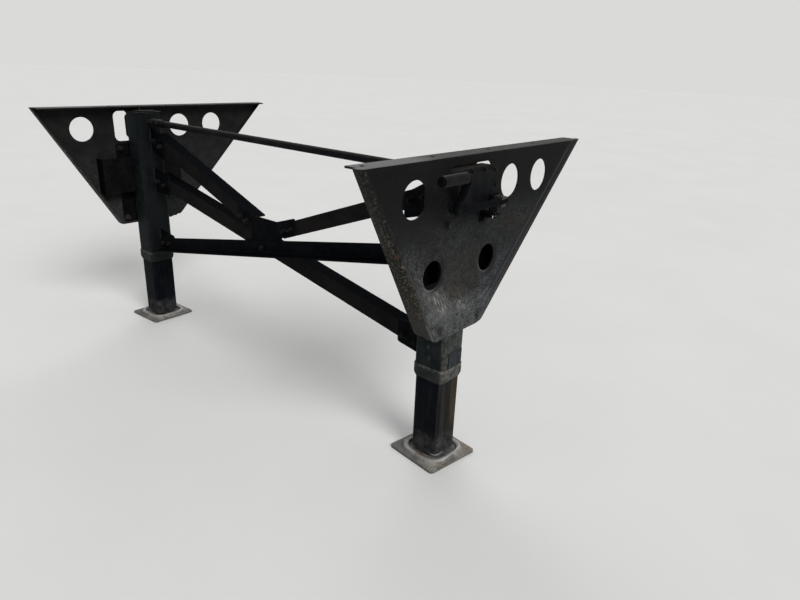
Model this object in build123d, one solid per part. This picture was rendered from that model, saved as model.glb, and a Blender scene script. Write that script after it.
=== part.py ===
"""Landing gear of a dry-van semi-trailer.

Two square telescoping legs hang from pressed wing plates that bolt to the
underside of the trailer's floor crossmembers.  Crossed angle braces and two
upper stays tie the legs together, a cross shaft joins their bevel gears, and
a crank on the left drives them.

Frame, in mm: X to the trailer's rear, Y from its left to its right side,
Z up.  The origin is the centre of the bolt pattern in the plates' top
flanges, on the underside of the crossmembers.  Heights called "above ground"
are turned into Z by gz().
"""
from build123d import *
import math
import os

# ------------------------------------------------------------------ sizes
MOUNT_H = 1125.0        # crossmember underside above ground
TRACK = 969.0           # leg axis from the trailer's centre plane

# legs
OUT_HALF, OUT_R, OUT_T = 64.5, 22.0, 4.4        # outer tube, half side, corner, wall
IN_HALF, IN_R, IN_T = 59.7, 18.0, 6.35          # inner tube
OUT_BOT, OUT_TOP = 374.0, 1096.0                # outer tube ends, above ground
COLLAR_BOT, COLLAR_NOSE = 323.0, 15.0           # lower end of the end collar, height of its taper
COLLAR_HALF_TOP, COLLAR_HALF_BOT = 67.5, 62.0
IN_BOT, IN_TOP = 22.0, 690.0                    # inner tube ends, above ground
CAP_HALF, CAP_T = 68.0, 5.0

# shoes
SHOE_X, SHOE_Y, SHOE_T, SHOE_R = 233.0, 229.0, 8.0, 14.0
RIM_FOOT, RIM_OUT, RIM_IN, WELL = 104.0, 92.0, 81.0, 75.0   # half sides of the pressed dish
FOOT_R, CREST_R, IN_CREST_R, WELL_R = 64.0, 56.0, 50.0, 44.0    # and their corners
RIM_H, FLOOR_H, RIM_ROLL = 20.0, 10.0, 4.0
PIN_R, PIN_H, PIN_HALF = 12.5, 52.0, 59.5       # foot pin radius, height, half length (flush)
PIN_FIT = 0.06                                  # radial running clearance in the lugs
LUG_IN, LUG_OUT, LUG_R = 22.0, 34.0, 25.0       # lugs inside the inner tube

# wing plates
PLATE_OFF, PLATE_T = 80.0, 6.0                  # outer face from the leg axis, thickness
PL_BOT = 520.0
PL_FRONT = ((-158.0, 533.0), (-508.0, MOUNT_H)) # front edge, (x, above ground)
PL_REAR = ((194.6, 552.0), (779.9, MOUNT_H))    # rear edge
FOLD_W, FOLD_D = 40.0, 10.0                     # shallow fold along the rear edge: width, depth
LIP = 30.0                                      # flange depth all round
FRONT_DEPTH = (70.0, 32.0)                      # front flange depth, bottom and top
REAR_DEPTH = (48.0, 32.0)
TOP_DEPTH = 75.0
BEND_R = 14.0
BIG_HOLES = ((-175.5, 765.0), (132.5, 762.0))   # (x, above ground)
BIG_R = 48.0
UPPER_HOLES = ((-281.0, 1017.0), (244.0, 1017.0), (446.0, 1017.0))
UPPER_R = 58.0
WINDOW = (-120.0, 118.0, 950.0, 1098.0)         # opening for the gearbox: x, x, z, z
BOLT_X = (-457.2, -152.4, 152.4, 457.2)         # crossmembers, 12 in apart
BOLT_Y = 1004.0
BOLT_R = 8.5

# bracket between plate and leg
BR_HALF, BR_BOT, BR_TOP = 125.0, 535.0, 940.0
BR_T = PLATE_OFF - PLATE_T - OUT_HALF
BR_RELIEF = 50.0                                # radius of its bite round a big hole
# box sections between leg and plate behind the big holes: (outer side x, bottom, top), wall, inside depth
BOXES = ((-230.0, 700.0, 875.0), (196.0, 655.0, 875.0))
BOX_T, BOX_D, BOX_R = 4.0, 58.0, 8.0

# braces: 2.5 in equal angle
ANG, ANG_T, ANG_ROOT, ANG_TOE = 63.5, 6.4, 7.0, 3.5
GUSSET_T = 8.0
X_LOW = 562.0           # lower edge of both diagonals at the centre, above ground
X_SLOPE = 0.194
STAY_LOW = 614.0        # lower edge of the stays, produced to the centre
STAY_SLOPE = 0.3666
STAY_START = 112.0      # where the stays begin, from the centre
BRACE_GAP = 16.0        # from a brace's end to the leg

# drive
SHAFT_H, SHAFT_R = 1054.0, 15.0
STUB_R, COUPL_R, COUPL_L = 12.5, 19.0, 110.0
GBX = (-110.0, 108.0, 960.0, 1090.0)            # gearbox: x, x, z, z
GB_FACE = 112.0                                 # its outer face from the leg axis
IN_X, IN_H = 80.0, 977.0                        # input shaft
ARM_OFF = 144.0                                 # crank arm from the leg axis
ARM_R = 12.0
ARM_DROP = 1.0                                  # fall of the folded arm to its bend
THROW_X, THROW_OUT, THROW_H = -198.0, 66.0, 1094.0
GRIP_END = -340.0
TAIL = 40.0                                     # crank eye past its pin
HANGER = (66.0, 96.0)                           # x of the bracket under the input shaft
HANG_TAB, HANG_TOP, HANG_LIP = 897.0, 934.0, 920.0   # its tab, shelf and lip, above ground
HANG_Y, BEAR_Y = 138.0, 119.0                   # shelf end and bearing plate from the leg axis


def gz(h):
    """Height above ground to Z."""
    return h - MOUNT_H


# ---------------------------------------------------------------- helpers
parts = {}


def keep(name, *shapes):
    shapes = [s for s in shapes]
    for s in shapes:
        parts.setdefault(name, []).append(s)


def mirrored(shape):
    return mirror(shape, about=Plane.XZ)


def rsq(half_x, half_y, r, z, angle=0.0, cx=0.0, cy=0.0):
    """Rounded rectangle, centred, at height z."""
    pl = Plane(origin=(cx, cy, z))
    return pl * Rot(0, 0, angle) * RectangleRounded(2 * half_x, 2 * half_y, r)


def tube(half, r, t, z0, z1):
    a = extrude(rsq(half, half, r, z0), z1 - z0)
    b = extrude(rsq(half - t, half - t, max(r - t, 2.0), z0 - 1), z1 - z0 + 2)
    return a - b


def frustum(h0, r0, z0, h1, r1, z1):
    return loft([rsq(h0, h0, r0, z0), rsq(h1, h1, r1, z1)])


def cyl(p, axis, r, length):
    """Cylinder from p along axis."""
    pl = Plane(origin=p, z_dir=axis)
    return extrude(pl * Circle(r), length)


def box(x0, x1, y0, y1, z0, z1):
    return Pos((x0 + x1) / 2, (y0 + y1) / 2, (z0 + z1) / 2) * Box(x1 - x0, y1 - y0, z1 - z0)


def xz_prism(pts, y0, y1):
    """Prism of an (x, z) polygon from y0 to y1."""
    pl = Plane(origin=(0, y0, 0), x_dir=(1, 0, 0), z_dir=(0, -1, 0))
    face = pl * make_face(Polyline(*[(x, z) for x, z in pts], close=True))
    return extrude(face, -(y1 - y0))


def yz_prism(pts, x0, x1):
    """Prism of a (y, z) polygon from x0 to x1."""
    pl = Plane(origin=(x0, 0, 0), x_dir=(0, 1, 0), z_dir=(1, 0, 0))
    face = pl * make_face(Polyline(*[(y, z) for y, z in pts], close=True))
    return extrude(face, x1 - x0)


def at_x(line, h):
    """x of an edge line at a height above ground."""
    (xa, ha), (xb, hb) = line
    return xa + (xb - xa) * (h - ha) / (hb - ha)


def shifted(line, d):
    """The edge line moved sideways by d, towards +x when d > 0."""
    (xa, ha), (xb, hb) = line
    n = math.hypot(xb - xa, hb - ha)
    nx, nz = (hb - ha) / n, -(xb - xa) / n
    return ((xa + nx * d, ha + nz * d), (xb + nx * d, hb + nz * d))


# ------------------------------------------------------------- wing plate
YO = -(TRACK + PLATE_OFF)       # outer face of the left plate


def pressed(outline, y0, y1, fold, fold_d, r):
    """Prism whose front, rear and top bends are rounded, with a shallow fold along its rear edge."""
    body = xz_prism(outline, y0, y1)
    (_, zb), (xr, _), (xt, _), _ = outline
    rear = [e for e in body.edges().filter_by_position(Axis.Y, y0 - 0.01, y0 + 0.01)
            if e.center().Z > zb + 1 and abs(e.center().X - (xr + xt) / 2) < 1]
    face = body.faces().sort_by(Axis.Y)[0]
    body = chamfer(rear, fold, fold_d, reference=face)
    front = [e for e in body.edges().filter_by_position(Axis.Y, y0 - 0.01, y0 + 0.01)
             if e.center().X < (outline[0][0] + outline[3][0]) / 2 + 1 and e.center().Z > zb + 1]
    bend = [e for e in body.edges().filter_by_position(Axis.Y, y0 + fold_d - 0.01, y0 + fold_d + 0.01)]
    return fillet(front + bend, r)


def wing_plate():
    top = MOUNT_H
    outline = [(at_x(PL_FRONT, PL_BOT), gz(PL_BOT)), (at_x(PL_REAR, PL_BOT), gz(PL_BOT)),
               (at_x(PL_REAR, top), 0.0), (at_x(PL_FRONT, top), 0.0)]
    body = pressed(outline, YO, YO + LIP, FOLD_W, FOLD_D, BEND_R)
    fi, ri = shifted(PL_FRONT, PLATE_T), shifted(PL_REAR, -PLATE_T)
    low, high = PL_BOT - 60.0, top - PLATE_T
    inner = [(at_x(fi, low), gz(low)), (at_x(ri, low), gz(low)),
             (at_x(ri, high), gz(high)), (at_x(fi, high), gz(high))]
    # the inside follows the fold one thickness further in
    tilt = math.atan2(FOLD_D, FOLD_W)
    fold_in = FOLD_W - PLATE_T + PLATE_T * math.tan(tilt / 2)
    void = pressed(inner, YO + PLATE_T, YO + 300.0, fold_in, fold_in * math.tan(tilt), BEND_R - PLATE_T)
    body = body - void
    # deeper flanges, tapering upwards
    for line, inward, depth in ((PL_FRONT, 1.0, FRONT_DEPTH), (PL_REAR, -1.0, REAR_DEPTH)):
        h0 = PL_BOT + 16.0
        pa = Vector(at_x(line, h0), YO, gz(h0))
        pb = Vector(at_x(line, top - 4.0), YO, gz(top - 4.0))
        along = (pb - pa).normalized()
        pl = Plane(origin=pa, x_dir=along, z_dir=along.cross(Vector(0, 1, 0)))
        n = (pb - pa).length
        strip = make_face(Polyline((6.0, LIP - 4.0), (0.0, depth[0] - 10.0), (10.0, depth[0]),
                                   (n, depth[1]), (n, LIP - 4.0), close=True))
        side = 1.0 if pl.z_dir.X * inward > 0 else -1.0
        body = body + extrude(pl * strip, side * PLATE_T)
    body = body + box(at_x(PL_FRONT, top) + 16.0, at_x(PL_REAR, top) - 16.0,
                      YO + LIP - 8.0, YO + TOP_DEPTH, -PLATE_T, 0.0)
    cut = body
    for x, z in BIG_HOLES:
        cut = cut - cyl((x, YO - 5, gz(z)), (0, 1, 0), BIG_R, PLATE_T + 10)
    for x, z in UPPER_HOLES:
        cut = cut - cyl((x, YO - 5, gz(z)), (0, 1, 0), UPPER_R, PLATE_T + 10)
    x0, x1, z0, z1 = WINDOW
    pl = Plane(origin=((x0 + x1) / 2, YO - 5, gz((z0 + z1) / 2)), x_dir=(1, 0, 0), z_dir=(0, -1, 0))
    cut = cut - extrude(pl * RectangleRounded(x1 - x0, z1 - z0, 28.0), -(PLATE_T + 10))
    for x in BOLT_X:
        cut = cut - cyl((x, -BOLT_Y, -PLATE_T - 5), (0, 0, 1), BOLT_R, PLATE_T + 10)
    # rounded lower corners of the face
    for line, sgn in ((PL_FRONT, -1.0), (PL_REAR, 1.0)):
        c = at_x(line, PL_BOT)
        corner = xz_prism([(c - sgn * 26.0, gz(PL_BOT) - 5), (c + sgn * 30.0, gz(PL_BOT) - 5),
                           (at_x(line, PL_BOT + 18.0) + sgn * 30.0, gz(PL_BOT + 18.0)),
                           (at_x(line, PL_BOT + 18.0), gz(PL_BOT + 18.0)),
                           (c - sgn * 6.0, gz(PL_BOT + 5.0)), (c - sgn * 20.0, gz(PL_BOT))],
                          YO - 5, YO + 110)
        cut = cut - corner
    return cut & box(-1000, 1000, YO - 10, YO + 200, gz(PL_BOT) - 50, 0.0)


WP = wing_plate()
keep("wing_plate_left", WP)
keep("wing_plate_right", mirrored(WP))

# ------------------------------------------------- bracket plate and legs
bracket = box(-BR_HALF, BR_HALF, YO + PLATE_T, YO + PLATE_T + BR_T, gz(BR_BOT), gz(BR_TOP))
bracket = fillet(bracket.edges().filter_by(Axis.Y), 16.0)
for x, z in BIG_HOLES:
    if abs(x) - BR_RELIEF < BR_HALF - 5.0:
        bracket = bracket - cyl((x, YO + PLATE_T - 5, gz(z)), (0, 1, 0), BR_RELIEF, BR_T + 10)
keep("leg_bracket_left", bracket)
keep("leg_bracket_right", mirrored(bracket))

for side, b0, b1 in BOXES:
    sx = 1.0 if side > 0 else -1.0
    back, web = YO + PLATE_T, YO + PLATE_T + BOX_D
    ring = make_face(Polyline((sx * OUT_HALF, web), (side - sx * BOX_T, web), (side - sx * BOX_T, back), (side, back),
                              (side, web + BOX_T), (sx * OUT_HALF, web + BOX_T), close=True))
    outside = [v for v in ring.vertices() if abs(v.X - side) < 0.01 and v.Y > web]
    ring = fillet(outside, BOX_R)
    ring = fillet([v for v in ring.vertices() if abs(v.X - side + sx * BOX_T) < 0.01 and abs(v.Y - web) < 0.01],
                  BOX_R - BOX_T)
    wall = extrude(Plane(origin=(0, 0, gz(b0))) * ring, b1 - b0)
    keep("bracket_boxes_left", wall)
    keep("bracket_boxes_right", mirrored(wall))

outer = Pos(0, -TRACK, 0) * tube(OUT_HALF, OUT_R, OUT_T, gz(OUT_BOT), gz(OUT_TOP))
# openings in the inboard face for the cross shaft stub
outer = outer - cyl((0, -TRACK + OUT_HALF - 10, gz(SHAFT_H)), (0, 1, 0), STUB_R + 4.0, 20)
keep("outer_leg_left", outer)
keep("outer_leg_right", mirrored(outer))

collar = frustum(COLLAR_HALF_TOP, OUT_R, gz(COLLAR_BOT + COLLAR_NOSE), COLLAR_HALF_TOP, OUT_R, gz(OUT_BOT)) \
    + frustum(COLLAR_HALF_BOT, IN_R + 2, gz(COLLAR_BOT), COLLAR_HALF_TOP, OUT_R, gz(COLLAR_BOT + COLLAR_NOSE))
collar = collar - extrude(rsq(IN_HALF, IN_HALF, IN_R, gz(COLLAR_BOT) - 1), OUT_BOT - COLLAR_BOT + 2)
collar = Pos(0, -TRACK, 0) * collar
keep("leg_collar_left", collar)
keep("leg_collar_right", mirrored(collar))

cap = extrude(rsq(CAP_HALF, CAP_HALF, 16.0, gz(OUT_TOP)), CAP_T)
cap = cap + extrude(rsq(CAP_HALF - 16, CAP_HALF - 16, 20.0, gz(OUT_TOP) + CAP_T), 5.0)
cap = Pos(0, -TRACK, 0) * cap
keep("leg_cap_left", cap)
keep("leg_cap_right", mirrored(cap))

inner = tube(IN_HALF, IN_R, IN_T, gz(IN_BOT), gz(IN_TOP))
inner = Pos(0, -TRACK, 0) * inner
inner = inner - cyl((0, -TRACK - IN_HALF - 5, gz(PIN_H)), (0, 1, 0), PIN_R, 2 * IN_HALF + 10)
keep("inner_leg_left", inner)
keep("inner_leg_right", mirrored(inner))

pin = cyl((0, -TRACK - PIN_HALF, gz(PIN_H)), (0, 1, 0), PIN_R, 2 * PIN_HALF)
pin = chamfer(pin.edges().filter_by(GeomType.CIRCLE), 2.0)
keep("foot_pin_left", pin)
keep("foot_pin_right", mirrored(pin))

# ------------------------------------------------------------------ shoes


def shoe(side, turn):
    """Pressed shoe with its lugs; turn is how far it sits askew, in degrees."""
    z0 = gz(0.0)
    plate = extrude(rsq(SHOE_X / 2, SHOE_Y / 2, SHOE_R, z0), SHOE_T)
    ridge = frustum(RIM_FOOT, FOOT_R, z0 + SHOE_T - 1, RIM_OUT, CREST_R, z0 + RIM_H)
    well = frustum(WELL, WELL_R, z0 + FLOOR_H, RIM_IN, IN_CREST_R, z0 + RIM_H + 0.5)
    groove = frustum(RIM_FOOT - 9, FOOT_R - 9, z0 - 1, RIM_OUT - 5, CREST_R - 5, z0 + RIM_H - 8.0) \
        - frustum(WELL + 6, WELL_R + 6, z0 - 2, WELL + 7, WELL_R + 7, z0 + RIM_H)
    dish = plate + ridge - well - groove
    top = dish.edges().filter_by_position(Axis.Z, z0 + RIM_H - 0.01, z0 + RIM_H + 0.01)
    try:
        dish = fillet(top, RIM_ROLL)
    except Exception as err:        # keep the plain rim if the kernel can't round it
        print("rim left sharp:", err)
    dish = Rot(0, 0, turn) * dish
    lugs = []
    for s in (-1.0, 1.0):
        lug = box(-LUG_R, LUG_R, min(s * LUG_IN, s * LUG_OUT), max(s * LUG_IN, s * LUG_OUT),
                  z0 + FLOOR_H - 2, gz(PIN_H))
        lug = lug + cyl((0, min(s * LUG_IN, s * LUG_OUT), gz(PIN_H)), (0, 1, 0), LUG_R, LUG_OUT - LUG_IN)
        lugs.append(lug)
    body = dish + lugs[0] + lugs[1]
    body = body - cyl((0, -LUG_OUT - 5, gz(PIN_H)), (0, 1, 0), PIN_R + PIN_FIT, 2 * LUG_OUT + 10)
    return Pos(0, side * TRACK, 0) * body


keep("shoe_left", shoe(-1, -8.0))
keep("shoe_right", shoe(1, 2.0))

# ----------------------------------------------------------------- braces


def angle_bar(y_mid, h_mid, slope, s0, s1, x_web, web_sign, flange_at):
    """Equal angle in the plane of the legs.

    The upright leg of the section starts at x_web and is ANG_T thick towards
    web_sign; the other leg also points to web_sign, at the top or the bottom.
    (y_mid, h_mid) lies on the section's lower edge; s0 and s1 run along it.
    """
    a = math.atan(slope)
    d = Vector(0, math.cos(a), math.sin(a))
    pl = Plane(origin=Vector(x_web, y_mid, gz(h_mid)) + d * s0, x_dir=(1, 0, 0), z_dir=d)
    up = 1.0 if pl.y_dir.Z > 0 else -1.0
    w, t, g = ANG, ANG_T, web_sign
    v0, v1 = (w - t, w) if flange_at == "top" else (0.0, t)
    if flange_at == "top":
        pts = [(0, 0), (g * t, 0), (g * t, w - t), (g * w, w - t), (g * w, w), (0, w)]
        root, toes = (g * t, w - t), ((g * t, 0), (g * w, w - t))
    else:
        pts = [(0, 0), (g * w, 0), (g * w, t), (g * t, t), (g * t, w), (0, w)]
        root, toes = (g * t, t), ((g * w, t), (g * t, w))
    face = make_face(Polyline(*[(x, up * v) for x, v in pts], close=True))

    def near(p):
        return [v for v in face.vertices() if abs(v.X - p[0]) < 0.01 and abs(v.Y - up * p[1]) < 0.01]
    face = fillet(near(root), ANG_ROOT)
    for p in toes:
        face = fillet([v for v in face.vertices() if abs(v.X - p[0]) < 0.01 and abs(v.Y - up * p[1]) < 0.01],
                      ANG_TOE)
    return extrude(pl * face, s1 - s0)


HG = GUSSET_T / 2
reach = TRACK - OUT_HALF                     # leg's inboard face from the centre
half_s = (reach - BRACE_GAP) * math.hypot(1, X_SLOPE)
keep("brace_front", angle_bar(0, X_LOW, -X_SLOPE, -half_s, half_s, -HG, -1.0, "bottom"))
keep("brace_rear", angle_bar(0, X_LOW, X_SLOPE, -half_s, half_s, HG, 1.0, "top"))

k = math.hypot(1, STAY_SLOPE)
stay = angle_bar(0, STAY_LOW, -STAY_SLOPE, -(reach - BRACE_GAP) * k, -STAY_START * k, HG, 1.0, "top")
keep("stay_left", stay)
keep("stay_right", mirrored(stay))

centre = [(-101, gz(566)), (101, gz(566)), (101, gz(656)), (190, gz(689)), (190, gz(760)), (70, gz(722)),
          (-70, gz(722)), (-190, gz(760)), (-190, gz(689)), (-101, gz(656))]
cp = yz_prism(centre, -HG, HG)
cp = fillet(cp.edges().filter_by(Axis.X), 8.0)
keep("brace_centre_plate", cp)

# gussets on the leg's inboard face: (height at the leg, height inboard), lower and upper
GUSSETS = (
    # leg low, leg high, inboard low, inboard high, width
    (374.0, 500.0, 396.0, 484.0, 128.0),
    (700.0, 828.0, 700.0, 800.0, 128.0),
    (906.0, 1030.0, 872.0, 962.0, 122.0),
)
for a0, a1, b0, b1, w in GUSSETS:
    g = yz_prism([(-reach, gz(a0)), (-reach + w, gz(b0)), (-reach + w, gz(b1)), (-reach, gz(a1))], -HG, HG)
    far = [e for e in g.edges().filter_by(Axis.X) if e.center().Y > -reach + 5]
    g = fillet(far, 10.0)
    keep("brace_gussets_left", g)
    keep("brace_gussets_right", mirrored(g))

# ------------------------------------------------------------------ drive
YL = -TRACK
x0, x1, z0, z1 = GBX
gw, gh = x1 - x0, z1 - z0
pl = Plane(origin=((x0 + x1) / 2, YL - OUT_HALF, gz((z0 + z1) / 2)), x_dir=(1, 0, 0), z_dir=(0, -1, 0))
housing = extrude(pl * RectangleRounded(gw, gh, 34.0), GB_FACE - OUT_HALF - 12.0)
keep("gearbox_housing", housing)
pl = Plane(origin=((x0 + x1) / 2, YL - GB_FACE + 12.0, gz((z0 + z1) / 2)), x_dir=(1, 0, 0), z_dir=(0, -1, 0))
cover = extrude(pl * RectangleRounded(gw, gh, 34.0), 8.0)
cover = cover + extrude(pl * RectangleRounded(gw - 34, gh - 34, 26.0), 12.0)
boss = cyl((IN_X, YL - GB_FACE + 12.0, gz(IN_H)), (0, -1, 0), 23.0, 16.0)
boss = boss & box(-500, 500, YL - 200, YL, gz(GBX[2]), 0.0)
cover = cover + boss
cover = cover - cyl((IN_X, YL - GB_FACE + 4.0, gz(IN_H)), (0, -1, 0), STUB_R, 40.0)
keep("gearbox_cover", cover)

# input shaft with its fork, and the folded crank
SX, SH = IN_X, IN_H
arm_y = YL - ARM_OFF
shaft = cyl((SX, YL - GB_FACE + 4.0, gz(SH)), (0, -1, 0), STUB_R, ARM_OFF - GB_FACE + 4.0 - 14.0)
shaft = shaft + box(SX - 13, SX + 13, arm_y - 16, arm_y + 16, gz(SH) - 17, gz(SH) + 17)
shaft = shaft - box(SX - 14, SX + 14, arm_y - 30, arm_y + 9, gz(SH) - 8, gz(SH) + 8)
shaft = shaft - cyl((SX, arm_y - 4, gz(SH) - 30), (0, 0, 1), 4.5, 60)
keep("input_shaft", shaft)

# crank: flattened eye in the fork, straight arm forwards, throw, grip
arm_pts = [(SX - 30, arm_y, gz(SH)), (THROW_X + 28, arm_y, gz(SH - ARM_DROP)),
           (THROW_X, arm_y - THROW_OUT, gz(THROW_H)), (GRIP_END, arm_y - THROW_OUT, gz(THROW_H))]
path = FilletPolyline(*arm_pts, radius=26.0)
sec = Plane(origin=path @ 0, z_dir=path % 0) * Circle(ARM_R)
arm = sweep(sec, path=path)
eye = box(SX - 40, SX + TAIL, arm_y - 12, arm_y + 4, gz(SH) - 6.5, gz(SH) + 6.5)
eye = fillet(eye.edges().filter_by(Axis.Z).sort_by(Axis.X)[-2:], 6.0)
eye = eye - cyl((SX, arm_y - 4, gz(SH) - 30), (0, 0, 1), 4.5, 60)
arm = arm + eye
keep("crank_arm", arm)
keep("crank_pin", cyl((SX, arm_y - 4, gz(SH) - 20), (0, 0, 1), 4.5, 40))

grip = cyl((THROW_X - 24, arm_y - THROW_OUT, gz(THROW_H)), (-1, 0, 0), 16.0, 112.0) \
    - cyl((THROW_X - 23, arm_y - THROW_OUT, gz(THROW_H)), (-1, 0, 0), ARM_R, 114.0)
keep("crank_grip", grip)

# bracket on the plate that steadies the input shaft: tab, lipped shelf and bearing plate
hx0, hx1 = HANGER
hs, he = gz(HANG_TOP), YL - HANG_Y
hanger = box(hx0, hx1, YO - 5.0, YO, gz(HANG_TAB), hs) + box(hx0, hx1, he, YO, hs - 5.0, hs) \
    + box(hx0, hx0 + 5.0, he, YO, gz(HANG_LIP), hs) \
    + box(IN_X - 22, IN_X + 22, YL - BEAR_Y - 5.0, YL - BEAR_Y, hs - 5.0, gz(IN_H) + 24.0)
hanger = hanger - cyl((IN_X, YL - BEAR_Y + 5.0, gz(IN_H)), (0, -1, 0), STUB_R + 0.5, 15.0)
keep("crank_hanger", hanger)

# cross shaft, stubs and couplings
face_l = -reach
gap = 70.0
keep("cross_shaft", cyl((0, face_l + gap, gz(SHAFT_H)), (0, 1, 0), SHAFT_R, 2 * (reach - gap)))
stub = cyl((0, face_l - 40, gz(SHAFT_H)), (0, 1, 0), STUB_R, 40 + gap)
coupl = cyl((0, face_l + 24, gz(SHAFT_H)), (0, 1, 0), COUPL_R, COUPL_L) \
    - cyl((0, face_l + 20, gz(SHAFT_H)), (0, 1, 0), STUB_R, gap - 20) \
    - cyl((0, face_l + gap, gz(SHAFT_H)), (0, 1, 0), SHAFT_R, COUPL_L)
for n, s in (("shaft_stub", stub), ("shaft_coupling", coupl)):
    keep(n + "_left", s)
    keep(n + "_right", mirrored(s))

# cover over the right leg's bevel gears
gc = extrude(Plane(origin=(0, TRACK + OUT_HALF, gz(1024)), x_dir=(1, 0, 0), z_dir=(0, 1, 0))
             * RectangleRounded(118, 118, 20.0), 14.0)
gc = gc + cyl((0, TRACK + OUT_HALF + 14, gz(1024)), (0, 1, 0), 34.0, 8.0)
keep("gear_cover_right", gc)

# blank plate on the left leg's outboard face
np_ = box(-31, 47, YL - OUT_HALF - 3.0, YL - OUT_HALF, gz(377), gz(436))
keep("blank_plate_left", np_)

# ------------------------------------------------------------------ export
os.makedirs("parts", exist_ok=True)
total = 0.0
for name, shapes in parts.items():
    solids = [s for sh in shapes for s in sh.solids()]
    out = solids[0] if len(solids) == 1 else Compound(children=[Solid(s.wrapped) for s in solids])
    export_step(out, "parts/%s.step" % name)
    v = sum(s.volume for s in solids)
    total += v
    print("%-22s %2d solids %12.0f mm3 %7.2f kg" % (name, len(solids), v, v * 7.85e-6))
print("steel in all %.1f kg" % (total * 7.85e-6))
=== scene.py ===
import math

import bmesh
import bpy
from mathutils import Matrix, Vector


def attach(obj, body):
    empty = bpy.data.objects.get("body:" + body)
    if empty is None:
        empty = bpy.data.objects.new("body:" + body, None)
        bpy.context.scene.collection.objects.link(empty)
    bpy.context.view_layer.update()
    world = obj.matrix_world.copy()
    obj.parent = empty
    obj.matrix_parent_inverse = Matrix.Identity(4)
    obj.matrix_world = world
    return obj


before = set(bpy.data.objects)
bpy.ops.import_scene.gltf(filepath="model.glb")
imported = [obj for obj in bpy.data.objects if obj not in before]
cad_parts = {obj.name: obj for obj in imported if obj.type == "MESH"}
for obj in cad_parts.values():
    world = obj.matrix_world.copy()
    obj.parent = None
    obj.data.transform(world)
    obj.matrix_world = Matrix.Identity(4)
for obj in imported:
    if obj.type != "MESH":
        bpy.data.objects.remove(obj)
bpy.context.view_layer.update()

# Landing gear of a dry-van semi-trailer.  All sizes below are in mm unless a
# comment says otherwise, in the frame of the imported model: X to the trailer's
# rear, Y to its right, Z up, origin at the frame bolts.
MM = 0.001
MOUNT_H = 1125.0
TRACK = 969.0
OUT_HALF, IN_HALF = 64.5, 59.7
YO = TRACK + 80.0           # outer face of the wing plates
REACH = TRACK - OUT_HALF    # inboard faces of the legs
SLOPE, STAY_SLOPE = 0.194, 0.3666


def gz(h):
    """Height above ground to Z."""
    return h - MOUNT_H


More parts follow.
